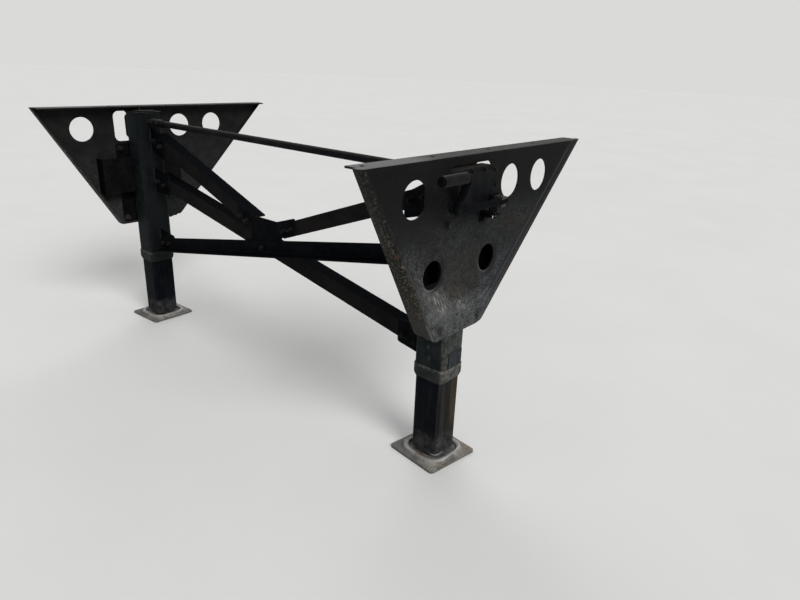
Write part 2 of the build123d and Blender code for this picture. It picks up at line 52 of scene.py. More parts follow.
# ------------------------------------------------------------------ finishes
class Finish:
    """A node material built up from the object's own coordinates, in metres."""

    def __init__(self, name):
        self.m = bpy.data.materials.new(name)
        self.m.use_nodes = True
        self.t = self.m.node_tree
        self.t.nodes.clear()
        self.out = self.t.nodes.new("ShaderNodeOutputMaterial")
        self.b = self.t.nodes.new("ShaderNodeBsdfPrincipled")
        self.t.links.new(self.b.outputs[0], self.out.inputs[0])
        tc = self.t.nodes.new("ShaderNodeTexCoord")
        self.P, self.N = tc.outputs["Object"], tc.outputs["Normal"]
        s = self.t.nodes.new("ShaderNodeSeparateXYZ")
        self.t.links.new(self.P, s.inputs[0])
        self.x, self.y, self.z = s.outputs
        s = self.t.nodes.new("ShaderNodeSeparateXYZ")
        self.t.links.new(self.N, s.inputs[0])
        self.nx, self.ny, self.nz = s.outputs

    def put(self, sock, v):
        if isinstance(v, bpy.types.NodeSocket):
            self.t.links.new(v, sock)
        elif sock.type == "RGBA" and len(v) == 3:
            sock.default_value = (*v, 1.0)
        else:
            sock.default_value = v

    def math(self, op, a, b=None, clamp=False):
        n = self.t.nodes.new("ShaderNodeMath")
        n.operation, n.use_clamp = op, clamp
        self.put(n.inputs[0], a)
        if b is not None:
            self.put(n.inputs[1], b)
        return n.outputs[0]

    def add(self, a, b, clamp=False):
        return self.math("ADD", a, b, clamp)

    def sub(self, a, b, clamp=False):
        return self.math("SUBTRACT", a, b, clamp)

    def mul(self, a, b, clamp=False):
        return self.math("MULTIPLY", a, b, clamp)

    def mx(self, a, b):
        return self.math("MAXIMUM", a, b)

    def mn(self, a, b):
        return self.math("MINIMUM", a, b)

    def inv(self, a):
        return self.math("SUBTRACT", 1.0, a, True)

    def ramp(self, v, a, b, c=0.0, d=1.0, smooth=True):
        """v from a..b to c..d, held at the ends."""
        n = self.t.nodes.new("ShaderNodeMapRange")
        n.interpolation_type = "SMOOTHSTEP" if smooth else "LINEAR"
        n.clamp = True
        for k, w in enumerate((v, a, b, c, d)):
            self.put(n.inputs[k], w)
        return n.outputs[0]

    def hill(self, v, centre, half, soft):
        """1 within half of centre, falling to 0 over soft."""
        d = self.math("ABSOLUTE", self.sub(v, centre))
        return self.ramp(d, half, half + soft, 1.0, 0.0)

    def patch(self, u, v, cu, cv, ru, rv, soft=0.6, lean=0.0):
        """1 in an ellipse about (cu, cv) that leans by so many degrees, falling to 0 outside it."""
        c, s = math.cos(math.radians(lean)), math.sin(math.radians(lean))
        du, dv = self.sub(u, cu), self.sub(v, cv)
        a = self.mul(self.add(self.mul(du, c), self.mul(dv, s)), 1.0 / ru)
        b = self.mul(self.sub(self.mul(dv, c), self.mul(du, s)), 1.0 / rv)
        r = self.math("SQRT", self.add(self.mul(a, a), self.mul(b, b)))
        return self.ramp(r, 1.0 - soft * 0.5, 1.0 + soft, 1.0, 0.0)

    def outboard(self, a=0.45, b=0.85):
        """1 on faces that look away from the trailer's centre plane."""
        return self.ramp(self.mul(self.ny, self.math("SIGN", self.y)), a, b)

    def vec(self, x, y, z):
        n = self.t.nodes.new("ShaderNodeCombineXYZ")
        for k, v in enumerate((x, y, z)):
            self.put(n.inputs[k], v)
        return n.outputs[0]

    def scaled(self, sx, sy, sz, at=None, turn=(0.0, 0.0, 0.0), shift=(0.0, 0.0, 0.0)):
        n = self.t.nodes.new("ShaderNodeMapping")
        self.t.links.new(at or self.P, n.inputs[0])
        n.inputs[1].default_value = shift
        n.inputs[2].default_value = turn
        n.inputs[3].default_value = (sx, sy, sz)
        return n.outputs[0]

    def slanted(self, along, across, lean):
        """Coordinates for strokes that lean by so many degrees from the X axis in a side view."""
        c, s = math.cos(math.radians(lean)), math.sin(math.radians(lean))
        u = self.add(self.mul(self.x, c), self.mul(self.z, s))
        v = self.sub(self.mul(self.z, c), self.mul(self.x, s))
        return self.vec(self.mul(u, along), self.mul(self.y, across * 0.3), self.mul(v, across))

    def noise(self, scale, detail=3.0, rough=0.55, at=None, bend=0.0):
        n = self.t.nodes.new("ShaderNodeTexNoise")
        self.t.links.new(at or self.P, n.inputs["Vector"])
        n.inputs["Scale"].default_value = scale
        n.inputs["Detail"].default_value = detail
        n.inputs["Roughness"].default_value = rough
        n.inputs["Distortion"].default_value = bend
        return n.outputs[0]

    def cells(self, scale, feature="F1", at=None, out="Distance"):
        n = self.t.nodes.new("ShaderNodeTexVoronoi")
        n.feature = feature
        self.t.links.new(at or self.P, n.inputs["Vector"])
        n.inputs["Scale"].default_value = scale
        return n.outputs[out]

    def specks(self, scale, size, share):
        """Round spots of uneven size; share is how many of the cells hold one."""
        n = self.t.nodes.new("ShaderNodeTexVoronoi")
        self.t.links.new(self.P, n.inputs["Vector"])
        n.inputs["Scale"].default_value = scale
        s = self.t.nodes.new("ShaderNodeSeparateColor")
        self.t.links.new(n.outputs["Color"], s.inputs[0])
        r = self.mul(self.ramp(s.outputs[0], 1.0 - share, 1.0, 0.0, 1.0, False), size)
        return self.ramp(self.sub(r, n.outputs["Distance"]), -0.02, 0.04)

    def mix(self, f, a, b, blend="MIX"):
        n = self.t.nodes.new("ShaderNodeMix")
        n.data_type, n.blend_type = "RGBA", blend
        self.put(n.inputs[0], f)
        self.put(n.inputs[6], a)
        self.put(n.inputs[7], b)
        return n.outputs[2]

    def tinted(self, tint, tone):
        return self.mix(1.0, tint, self.vec(tone, tone, tone), "MULTIPLY")

    def lerp(self, f, a, b):
        n = self.t.nodes.new("ShaderNodeMix")
        n.data_type = "FLOAT"
        self.put(n.inputs[0], f)
        self.put(n.inputs[2], a)
        self.put(n.inputs[3], b)
        return n.outputs[0]

    def edge(self, radius=0.003, samples=4):
        """Near 1 on corners and bends, 0 on flat metal."""
        n = self.t.nodes.new("ShaderNodeBevel")
        n.samples = samples
        n.inputs["Radius"].default_value = radius
        g = self.t.nodes.new("ShaderNodeNewGeometry")
        d = self.t.nodes.new("ShaderNodeVectorMath")
        d.operation = "DOT_PRODUCT"
        self.t.links.new(n.outputs[0], d.inputs[0])
        self.t.links.new(g.outputs["Normal"], d.inputs[1])
        return self.ramp(d.outputs["Value"], 0.98, 0.80, 0.0, 1.0)

    def nook(self, reach=0.03, samples=4):
        """Near 1 where other metal is close by."""
        n = self.t.nodes.new("ShaderNodeAmbientOcclusion")
        n.samples = samples
        n.inputs["Distance"].default_value = reach
        return self.inv(n.outputs["AO"])

    def surface(self, colour, rough, height, depth=0.0012, metal=0.0, spec=0.5):
        self.put(self.b.inputs["Base Color"], colour)
        self.put(self.b.inputs["Roughness"], rough)
        self.put(self.b.inputs["Metallic"], metal)
        self.b.inputs["Specular IOR Level"].default_value = spec
        n = self.t.nodes.new("ShaderNodeBump")
        n.inputs["Strength"].default_value = 1.0
        n.inputs["Distance"].default_value = depth
        self.put(n.inputs["Height"], height)
        self.t.links.new(n.outputs[0], self.b.inputs["Normal"])
        return self.m


DUST = (0.052, 0.047, 0.041)
RUST = (0.060, 0.026, 0.012)
RUST_DARK = (0.018, 0.009, 0.006)
ORANGE = (0.24, 0.088, 0.026)


def painted(name, base=(0.0016, 0.0022, 0.0030), base2=(0.0042, 0.0048, 0.0056), dust=0.14, dust_col=DUST, top=0.45,
            ground=0.20, rust=0.14, wear=0.30, gloss=0.44, spots=0.16, streak=0.12, lumps=0.3, cast=0.0):
    """Old black paint: dust that settles on top and near the ground, spatter, run-down streaks, rust at edges."""
    f = Finish(name)
    big, mid = f.noise(5.5, 3), f.noise(26.0, 4, 0.6)
    fine, grit = f.noise(150.0, 4, 0.65), f.noise(620.0, 2, 0.6)
    h = f.add(f.z, MOUNT_H * MM)
    paint = f.mix(f.ramp(mid, 0.35, 0.68), base, base2)
    # streaks that ran down
    run = f.noise(1.0, 4, 0.6, f.scaled(95.0, 95.0, 5.0))
    run = f.mul(f.ramp(run, 0.52, 0.72), f.ramp(big, 0.35, 0.6))
    # dust: patchy, thicker on upward faces and near the ground
    patch = f.mul(f.ramp(f.add(f.mul(big, 0.6), f.mul(mid, 0.5)), 0.42, 0.72), f.ramp(fine, 0.30, 0.66, 0.35, 1.0))
    upward = f.mul(f.ramp(f.nz, 0.35, 0.95), f.ramp(fine, 0.25, 0.6, 0.55, 1.0))
    low = f.mul(f.ramp(h, 0.30, 0.02), f.ramp(mid, 0.3, 0.62, 0.35, 1.0))
    d = f.add(f.add(f.mul(patch, dust), f.mul(upward, top)), f.add(f.mul(low, ground), f.mul(run, streak)), True)
    d = f.mx(d, f.mul(f.specks(130.0, 0.30, 0.16), spots))
    d = f.mx(d, f.mul(f.specks(420.0, 0.34, 0.22), spots * 0.8))
    col = f.mix(d, paint, f.mix(mid, dust_col, [c * 0.68 for c in dust_col]))
    # rust blooms, and bare edges
    corner = f.edge()
    bloom = f.ramp(f.add(f.mul(f.noise(34.0, 5, 0.7), 0.75), f.mul(fine, 0.3)), 0.60, 0.70)
    bloom = f.mul(bloom, f.ramp(f.noise(7.0, 2), 0.46, 0.60))
    chip = f.mul(corner, f.ramp(f.add(f.mul(mid, 0.5), f.mul(fine, 0.6)), 0.46, 0.66))
    r = f.mn(f.mx(f.mul(bloom, rust * 3.0), f.mul(chip, wear)), 1.0)
    rusty = f.mix(f.ramp(fine, 0.35, 0.65), RUST_DARK, RUST)
    col = f.mix(r, col, rusty)
    # edges rubbed a little paler
    col = f.mix(f.mul(corner, f.ramp(mid, 0.40, 0.62, 0.0, 0.22)), col, (0.050, 0.050, 0.050))
    ro = f.lerp(d, f.lerp(mid, gloss, gloss + 0.22), 0.90)
    ro = f.lerp(r, ro, 0.88)
    ht = f.add(f.mul(f.noise(48.0, 3), lumps), f.mul(fine, 0.16))
    ht = f.add(ht, f.mul(f.mul(grit, 0.10), f.add(0.35, d)))
    ht = f.add(ht, f.mul(r, 0.20))
    if cast:
        ht = f.add(ht, f.mul(f.noise(260.0, 3, 0.7), cast))
    return f, col, ro, ht, d, r


def plain(name, spec=0.045, **kw):
    f, col, ro, ht, d, r = painted(name, **kw)
    return f.surface(col, ro, ht, spec=spec)


def hole_halo(f, x, h, cx, ch, size, dark_to, light_to):
    """Painted shade at one side of a round hole and a painted highlight on the rim at the other: (shade, rim highlight,
    distance).
    """
    dx, dz = f.sub(x, cx), f.sub(h, ch)
    r = f.math("SQRT", f.add(f.add(f.mul(dx, dx), f.mul(dz, dz)), 1e-8))
    way = f.math("DIVIDE", f.add(f.mul(dx, dark_to[0]), f.mul(dz, dark_to[1])), r)
    anti = f.math("DIVIDE", f.add(f.mul(dx, light_to[0]), f.mul(dz, light_to[1])), r)
    shade = f.mul(f.ramp(r, 0.048 + size, 0.048 + size * 0.35), f.ramp(way, -0.15, 0.70))
    rim_highlight = f.mul(f.ramp(r, 0.0550, 0.0500), f.ramp(anti, 0.35, 0.90))
    return shade, rim_highlight, r


def wing_finish():
    """The pressed plates: dull paint brushed and spattered by the road, pale low down, tan front flange."""
    f = Finish("dusty_plate_paint")
    h = f.add(f.z, MOUNT_H * MM)
    x = f.x
    left = f.ramp(f.y, 0.0, -0.5)
    big, mid = f.noise(5.0, 3), f.noise(19.0, 5, 0.62)
    blot = f.noise(50.0, 4, 0.65)
    fine, grit = f.noise(160.0, 4, 0.7), f.noise(560.0, 3, 0.65)
    face = f.mul(f.ramp(f.math("ABSOLUTE", f.y), 1.034, 1.040), f.ramp(f.outboard(), 0.0, 1.0))
    front = f.sub(x, f.add(f.mul(f.sub(h, 0.533), -0.5912), -0.158))      # from the front edge
    rear = f.sub(f.add(f.mul(f.sub(h, 0.552), 1.0215), 0.1946), x)         # from the rear edge
    grain = f.noise(1.0, 4, 0.7, f.slanted(70.0, 360.0, -52.0))
    comb = f.noise(1.0, 4, 0.7, f.slanted(45.0, 380.0, -12.0))
    brush = f.lerp(f.ramp(x, -0.02, 0.14), grain, comb)
    # how pale: dark above, pale in the lowest part, mid grey towards the rear
    tone = f.lerp(f.ramp(h, 0.99, 0.64, 0.0, 1.0, False), 0.0062, 0.0195)
    upper = f.mul(f.ramp(h, 0.835, 0.925), f.ramp(x, -0.13, -0.27))
    tone = f.lerp(upper, tone, 0.0046)
    tone = f.add(tone, f.mul(f.ramp(f.add(h, f.mul(f.sub(mid, 0.5), 0.05)), 0.665, 0.605), 0.026))
    tone = f.add(tone, f.mul(f.patch(x, h, 0.175, 0.665, 0.085, 0.050, 0.9, 40.0), 0.004))
    tone = f.add(tone, f.mul(f.patch(x, h, -0.250, 0.770, 0.035, 0.100, 0.8, 30.0), 0.006))
    mott = f.add(f.add(f.mul(f.sub(blot, 0.5), 3.0), f.mul(f.sub(fine, 0.5), 4.4)), f.mul(f.sub(brush, 0.5), 3.4))
    mott = f.add(mott, f.mul(f.sub(grit, 0.5), 2.4))
    smooth_up = f.lerp(f.mx(f.mul(upper, 0.75), f.mul(f.patch(x, h, 0.0, 0.745, 0.095, 0.065, 0.5), 0.45)), 1.0, 0.40)
    tone = f.mul(tone, f.mx(f.add(1.0, f.mul(mott, smooth_up)), 0.18))
    tone = f.mul(tone, f.ramp(big, 0.30, 0.70, 0.78, 1.22))
    # painted shade and less dust high up under the floor, painted shade at the rear top corner, darker at the lowest
    # rear part
    tone = f.mul(tone, f.lerp(f.ramp(h, 0.900, 0.985), 1.0, 0.26))
    tone = f.mul(tone, f.lerp(f.mul(f.ramp(x, 0.33, 0.45), f.ramp(h, 0.800, 0.860)), 1.0, 0.72))
    tone = f.mul(tone, f.lerp(f.mul(f.ramp(x, 0.02, 0.14), f.ramp(h, 0.640, 0.590)), 1.0, 0.74))
    # tints: brown centre, teal above it, blue-grey front, cool rear
    tint = f.mix(f.ramp(x, 0.06, 0.20), (0.965, 1.025, 1.060), (0.930, 1.01, 1.100))
    tint = f.mix(f.patch(x, h, 0.005, 0.745, 0.100, 0.070, 0.6), tint, (1.04, 1.03, 0.930))
    tint = f.mix(f.mul(f.patch(x, h, -0.005, 0.895, 0.085, 0.032, 0.7), 0.8), tint, (0.82, 1.05, 1.02))
    tint = f.mix(upper, tint, (0.86, 0.96, 1.16))
    tint = f.mix(f.mul(f.patch(x, h, 0.290, 0.870, 0.070, 0.022, 0.8, -12.0), 0.8), tint, (1.16, 1.0, 0.84))
    tint = f.mix(f.mul(f.ramp(blot, 0.52, 0.64), 0.24), tint, (1.06, 1.0, 0.88))
    col = f.tinted(tint, tone)
    # short pale scuffs all over, thicker beside the front bend
    scuff = f.noise(1.0, 3, 0.6, f.slanted(38.0, 420.0, -40.0))
    col = f.mix(f.mul(f.ramp(scuff, 0.60, 0.72), f.lerp(upper, 0.34, 0.16)), col, (0.048, 0.050, 0.049))
    fleck = f.noise(1.0, 4, 0.7, f.slanted(85.0, 210.0, -60.0))
    beside = f.mul(f.hill(front, 0.055, 0.025, 0.040), f.mul(f.ramp(h, 0.905, 0.845), f.ramp(h, 0.560, 0.640)))
    beside = f.mul(beside, f.ramp(mid, 0.36, 0.54, 0.35, 1.0))
    col = f.mix(f.mul(beside, f.ramp(fleck, 0.52, 0.66, 0.0, 0.60)), col, (0.080, 0.077, 0.068))
    # the scraped places of the left plate
    score = f.noise(1.0, 3, 0.6, f.slanted(34.0, 560.0, -52.0))
    zone = f.mx(f.patch(x, h, -0.125, 0.650, 0.044, 0.016, 0.9, -44.0), f.mul(f.patch(x, h, -0.128, 0.662, 0.085, 0.030, 0.8, -40.0), 0.45))
    bright = f.mul(zone, f.ramp(score, 0.47, 0.62))
    score2 = f.noise(1.0, 3, 0.6, f.slanted(40.0, 600.0, -48.0))
    zone2 = f.mx(f.patch(x, h, -0.008, 0.624, 0.034, 0.014, 0.9, -34.0), f.mul(f.patch(x, h, 0.006, 0.624, 0.065, 0.020, 0.9, -24.0), 0.40))
    bright2 = f.mul(zone2, f.ramp(score2, 0.49, 0.63))
    bright3 = f.mul(f.patch(x, h, -0.235, 0.745, 0.018, 0.070, 0.9, 30.0), f.ramp(score2, 0.56, 0.66, 0.0, 0.45))
    sc = f.mul(f.mul(f.mx(f.mx(bright, f.mul(bright2, 0.90)), bright3), face), left)
    haze = f.mul(f.mul(f.patch(x, h, -0.130, 0.650, 0.095, 0.036, 0.8, -38.0), 0.28), left)
    col = f.mix(haze, col, (0.086, 0.090, 0.087))
    col = f.mix(f.mul(sc, 0.90), col, (0.270, 0.268, 0.250))
    strokes = f.mul(f.patch(x, h, -0.042, 0.682, 0.055, 0.014, 0.8, -14.0), f.ramp(score, 0.44, 0.58))
    col = f.mix(f.mul(f.mul(strokes, left), 0.60), col, (0.062, 0.048, 0.034))
    # painted shade beside the big holes, a painted highlight on the opposite rim, and painted shade on the hole walls
    height = 0.0
    for cx, ch, size in ((-0.1755, 0.765, 0.022), (0.1325, 0.762, 0.032)):
        shade, rim_highlight, r = hole_halo(f, x, h, cx, ch, size, (0.93, -0.37), (-0.45, -0.89))
        shade = f.mul(shade, face)
        col = f.mix(f.mul(shade, 0.80), col, (0.0052, 0.0056, 0.0068))
        col = f.mix(f.mul(f.mul(rim_highlight, face), 0.35), col, (0.110, 0.110, 0.105))
        wall = f.mul(f.ramp(r, 0.0492, 0.0480), f.ramp(f.math("ABSOLUTE", f.ny), 0.75, 0.45))
        col = f.mix(f.mul(wall, 0.90), col, (0.0030, 0.0030, 0.0036))
        height = f.sub(height, f.mul(f.ramp(r, 0.074, 0.049), 0.9))
    # painted shade round each plate bolt, darker on its front side
    for bx in (-0.1095, 0.1095):
        for bh in (0.556, 0.916):
            ex, eh = f.sub(x, bx), f.sub(h, bh)
            rr = f.math("SQRT", f.add(f.add(f.mul(ex, ex), f.mul(eh, eh)), 1e-8))
            ring = f.mul(f.mul(f.ramp(rr, 0.0190, 0.0135), face), f.ramp(ex, 0.008, -0.008, 0.25, 0.75))
            col = f.mix(ring, col, (0.0060, 0.0062, 0.0070))
    # front flange and bend: tan spatter over dark paint, some rust
    tan = f.ramp(f.add(front, f.mul(f.sub(blot, 0.5), 0.020)), 0.024, 0.008)
    pebble = f.ramp(f.add(f.mul(f.noise(115.0, 4, 0.7), 0.55), f.mul(fine, 0.55)), 0.52, 0.68)
    pebble = f.mul(pebble, f.ramp(h, 0.985, 0.93, 0.45, 1.0))
    warm = f.mix(f.ramp(fine, 0.36, 0.64), (0.022, 0.0185, 0.0130), (0.095, 0.0820, 0.0580))
    flange = f.mix(pebble, f.mix(f.ramp(h, 0.60, 0.90), (0.0130, 0.0128, 0.0112), (0.0040, 0.0043, 0.0042)), warm)
    flange = f.mix(f.ramp(h, 0.66, 0.56), flange, f.mix(mid, (0.015, 0.015, 0.0145), (0.038, 0.0375, 0.035)))
    col = f.mix(tan, col, flange)
    # a dark line along the upper front bend
    bend_dark_line = f.mul(f.hill(front, 0.0110, 0.0022, 0.0050), f.mul(f.ramp(h, 0.846, 0.862), f.ramp(h, 0.975, 0.955)))
    col = f.mix(f.mul(bend_dark_line, 0.85), col, (0.0035, 0.0036, 0.0042))
    bend = f.mul(f.hill(front, 0.0085, 0.0010, 0.0035), f.mul(f.ramp(h, 0.610, 0.590), f.ramp(mid, 0.34, 0.56, 0.3, 1.0)))
    col = f.mix(f.mul(bend, 0.55), col, (0.105, 0.106, 0.102))
    red = f.mul(f.mul(f.patch(x, h, -0.346, 0.858, 0.005, 0.008, 0.9), f.ramp(f.y, -1.036, -1.043)), 0.40)
    col = f.mix(red, col, f.mix(fine, (0.060, 0.026, 0.017), (0.100, 0.054, 0.040)))
    rustp = f.mul(f.ramp(front, 0.030, 0.010), f.ramp(f.noise(18.0, 4, 0.6), 0.60, 0.68))
    col = f.mix(f.mul(rustp, 0.6), col, f.mix(fine, (0.030, 0.014, 0.008), (0.075, 0.038, 0.020)))
    # rear edge: a dark line with a pale line beside it; outside them a combed strip, painted darker as painted shade of
    # the turned edge
    keep_in = f.mul(f.ramp(h, 0.585, 0.640), face)
    comb2 = f.noise(1.0, 4, 0.7, f.slanted(26.0, 330.0, -44.0))
    strip = f.mul(f.ramp(rear, 0.092, 0.084), keep_in)
    stripc = f.tinted((0.97, 1.02, 0.99), f.mul(f.lerp(f.ramp(h, 0.62, 0.95), 0.020, 0.0070), f.ramp(comb2, 0.34, 0.68, 0.30, 1.75)))
    col = f.mix(f.mul(strip, 0.85), col, stripc)
    col = f.mix(f.mul(f.mul(f.hill(rear, 0.088, 0.0025, 0.007), keep_in), f.ramp(mid, 0.32, 0.60, 0.25, 0.70)), col, (0.036, 0.038, 0.039))
    col = f.mix(f.mul(f.mul(f.hill(rear, 0.107, 0.003, 0.010), keep_in), f.ramp(mid, 0.32, 0.60, 0.35, 0.75)), col, (0.0055, 0.0062, 0.0075))
    # rust at cut edges
    corner = f.edge(0.003)
    chip = f.mul(corner, f.ramp(f.add(f.mul(mid, 0.5), f.mul(fine, 0.6)), 0.46, 0.64))
    col = f.mix(f.mul(chip, 0.50), col, f.mix(fine, RUST_DARK, RUST))
    bloom = f.mul(f.ramp(f.noise(30.0, 5, 0.7), 0.64, 0.72), f.ramp(f.noise(6.0, 2), 0.52, 0.64))
    col = f.mix(f.mul(bloom, 0.5), col, f.mix(fine, RUST_DARK, RUST))
    # faces turned inboard are painted darker as painted shade; the top flange dusty
    back = f.inv(f.ramp(f.math("ABSOLUTE", f.y), 1.034, 1.040))
    inside = f.ramp(f.mul(f.ny, f.math("SIGN", f.y)), -0.3, -0.8)
    col = f.mix(f.mul(inside, 0.62), col, f.mix(f.ramp(mid, 0.35, 0.65), (0.0050, 0.0053, 0.0060), (0.0120, 0.0117, 0.0112)))
    upward = f.mul(f.mul(f.ramp(f.nz, 0.5, 0.95), back), f.ramp(fine, 0.25, 0.6, 0.5, 1.0))
    col = f.mix(f.mul(upward, 0.5), col, DUST)
    ro = f.lerp(f.mul(upper, 0.7), f.lerp(blot, 0.66, 0.86), 0.50)
    ht = f.add(f.mul(f.noise(13.0, 3), 0.9), f.mul(blot, 0.30))
    ht = f.add(ht, f.mul(fine, 0.26))
    ht = f.add(ht, f.mul(grit, 0.14))
    ht = f.add(ht, f.mul(brush, 0.10))
    ht = f.sub(ht, f.mul(sc, 0.12))
    ht = f.add(ht, height)
    ht = f.sub(ht, f.mul(dent_line(f, x, h), 0.9))
    return f.surface(col, ro, ht, 0.0013, spec=0.12)


def dent_line(f, x, h):
    """A knocked-in crease on the left plate's front bend: part of a ring about a point inboard of the edge."""
    dx, dz = f.sub(x, -0.262), f.sub(h, 0.915)
    r = f.math("SQRT", f.add(f.mul(dx, dx), f.mul(dz, dz)))
    ring = f.hill(r, 0.100, 0.0015, 0.010)
    arc = f.mul(f.ramp(dx, -0.035, -0.060), f.ramp(dz, 0.025, -0.005))
    return f.mul(f.mul(ring, arc), f.ramp(f.y, 0.0, -0.5))


def inner_finish():
    """Inner tubes: black in front, paler on the outboard side as painted light with brown run-down stripes there, a
    painted highlight along the front corner, dusty foot.
    """
    f, col, ro, ht, d, r = painted("inner_tube_paint", base=(0.0004, 0.0012, 0.0028), base2=(0.0014, 0.0026, 0.0050),
                                   dust=0.07, ground=0.05, rust=0.05, gloss=0.42, spots=0.06, streak=0.06)
    h = f.add(f.z, MOUNT_H * MM)
    side = f.outboard(0.35, 0.80)
    run = f.noise(1.0, 4, 0.6, f.scaled(150.0, 60.0, 4.0))
    run2 = f.noise(1.0, 3, 0.6, f.scaled(420.0, 60.0, 9.0))
    mauve = f.mix(f.ramp(run, 0.38, 0.62), (0.0085, 0.0084, 0.0083), (0.0190, 0.0180, 0.0170))
    brown = f.mix(f.ramp(run2, 0.36, 0.66), (0.0250, 0.0185, 0.0130), (0.0500, 0.0375, 0.0265))
    s = f.mix(f.mul(f.hill(f.x, 0.034, 0.012, 0.020), f.ramp(h, 0.08, 0.18)), mauve, brown)
    col = f.mix(f.mul(f.ramp(run, 0.50, 0.66), 0.45), col, (0.0100, 0.0110, 0.0125))
    # outboard faces paler: painted light, with brown run-down stripes
    col = f.mix(f.mul(side, f.ramp(run, 0.28, 0.50, 0.80, 1.0)), col, s)
    # painted highlight along the front outboard corner
    corner_highlight = f.mul(f.mul(f.hill(f.x, -0.045, 0.010, 0.012), f.ramp(f.mul(f.ny, f.math("SIGN", f.y)), 0.25, 0.6)), f.ramp(run, 0.40, 0.60))
    col = f.mix(f.mul(corner_highlight, 0.25), col, (0.0240, 0.0245, 0.0270))
    # dusty foot
    edge = f.add(h, f.mul(f.sub(f.noise(22.0, 3), 0.5), 0.045))
    foot = f.mul(f.ramp(edge, 0.112, 0.080), f.ramp(f.noise(60.0, 4), 0.30, 0.60, 0.6, 1.0))
    col = f.mix(f.mul(foot, 0.92), col, f.mix(f.ramp(f.noise(35.0, 4), 0.34, 0.66), (0.0130, 0.0135, 0.0142), (0.0360, 0.0365, 0.0370)))
    scr = f.noise(1.0, 3, 0.7, f.scaled(330.0, 330.0, 90.0), 1.5)
    place_ = f.mul(f.patch(f.x, h, -0.036, 0.085, 0.016, 0.030, 0.6), f.outboard(-0.1, 0.3))
    col = f.mix(f.mul(f.ramp(scr, 0.57, 0.64), f.mx(f.mul(place_, 0.9), f.mul(foot, 0.22))), col, (0.150, 0.145, 0.135))
    near = f.mul(f.ramp(f.x, -0.010, -0.030), f.ramp(f.math("ABSOLUTE", f.y), 0.998, 1.016))
    line = f.mul(f.hill(h, 0.0255, 0.0008, 0.0026), f.mul(near, f.ramp(f.noise(90.0, 2), 0.34, 0.50)))
    col = f.mix(f.mul(line, 0.80), col, (0.240, 0.238, 0.230))
    ro = f.lerp(foot, f.lerp(side, ro, 0.66), 0.90)
    ht = f.add(ht, f.mul(f.mul(run2, side), 0.12))
    return f.surface(col, ro, ht, spec=0.03)


def outer_finish():
    """Outer tubes: dark green-grey paint, paler on the outboard side as painted light and dust, painted shade on the
    inboard sides, with light spatter.
    """
    f, col, ro, ht, d, r = painted("outer_tube_paint", base=(0.0034, 0.0062, 0.0070), base2=(0.0076, 0.0112, 0.0122),
                                   dust=0.10, dust_col=(0.060, 0.060, 0.056), ground=0.0, rust=0.06, gloss=0.50, spots=0.34, streak=0.16)
    side = f.outboard(0.35, 0.80)
    h = f.add(f.z, MOUNT_H * MM)
    run = f.noise(1.0, 4, 0.65, f.scaled(120.0, 60.0, 9.0))
    mot = f.noise(75.0, 4, 0.65)
    grey = f.mix(f.ramp(f.add(f.mul(run, 0.5), f.mul(mot, 0.5)), 0.42, 0.58), (0.0165, 0.0190, 0.0185), (0.0520, 0.0540, 0.0510))
    # outboard faces paler: painted light, and dust
    col = f.mix(f.mul(side, 0.92), col, grey)
    # painted shade: towards the far inboard sides the paint is made black
    shade = f.mul(f.ramp(f.mul(f.ny, f.math("SIGN", f.y)), -0.3, -0.8), 0.75)
    col = f.mix(shade, col, (0.0034, 0.0040, 0.0050))
    blobs = f.mx(f.mul(f.hill(f.y, -0.969, 0.002, 0.008), f.hill(h, 0.454, 0.003, 0.011)),
                 f.mul(f.hill(f.y, -0.975, 0.002, 0.007), f.hill(h, 0.414, 0.002, 0.009)))
    blobs = f.mul(blobs, f.ramp(f.nx, -0.5, -0.9))
    col = f.mix(f.mul(blobs, 0.36), col, (0.066, 0.068, 0.062))
    return f.surface(col, ro, ht, spec=0.055)


def collar_finish():
    """End collars: rolled rough and dusty, olive grey, paler outboard as painted light and dust, painted shade on the
    inboard sides.
    """
    f, col, ro, ht, d, r = painted("collar_paint", base=(0.0060, 0.0085, 0.0085), base2=(0.0160, 0.0185, 0.0175), dust=0.28,
                                   dust_col=(0.060, 0.058, 0.052), top=0.4, ground=0.0, rust=0.08, gloss=0.60, spots=0.30, lumps=0.2)
    side = f.outboard(0.30, 0.80)
    mot = f.noise(60.0, 4, 0.65)
    # outboard faces paler: painted light, and dust
    col = f.mix(f.mul(side, 0.85), col, f.mix(f.ramp(mot, 0.36, 0.64), (0.0300, 0.0300, 0.0275), (0.0880, 0.0850, 0.0780)))
    crust = f.ramp(f.noise(115.0, 4, 0.7), 0.54, 0.66)
    col = f.mix(f.mul(f.mul(crust, 0.40), f.lerp(side, 0.18, 1.0)), col, (0.100, 0.098, 0.090))
    # a paler line along the collar's top, by the weld
    rub = f.mul(f.hill(f.add(f.z, MOUNT_H * MM), 0.371, 0.002, 0.006), f.ramp(mot, 0.38, 0.60))
    col = f.mix(f.mul(f.mul(rub, 0.6), f.lerp(side, 0.60, 1.0)), col, (0.140, 0.138, 0.128))
    # painted shade on the inboard sides
    shade = f.mul(f.ramp(f.mul(f.ny, f.math("SIGN", f.y)), -0.3, -0.8), 0.70)
    col = f.mix(shade, col, (0.0040, 0.0044, 0.0050))
    ht = f.add(ht, f.mul(f.noise(70.0, 2, 0.5), 1.3))
    return f.surface(col, ro, ht, 0.0026, spec=0.12)


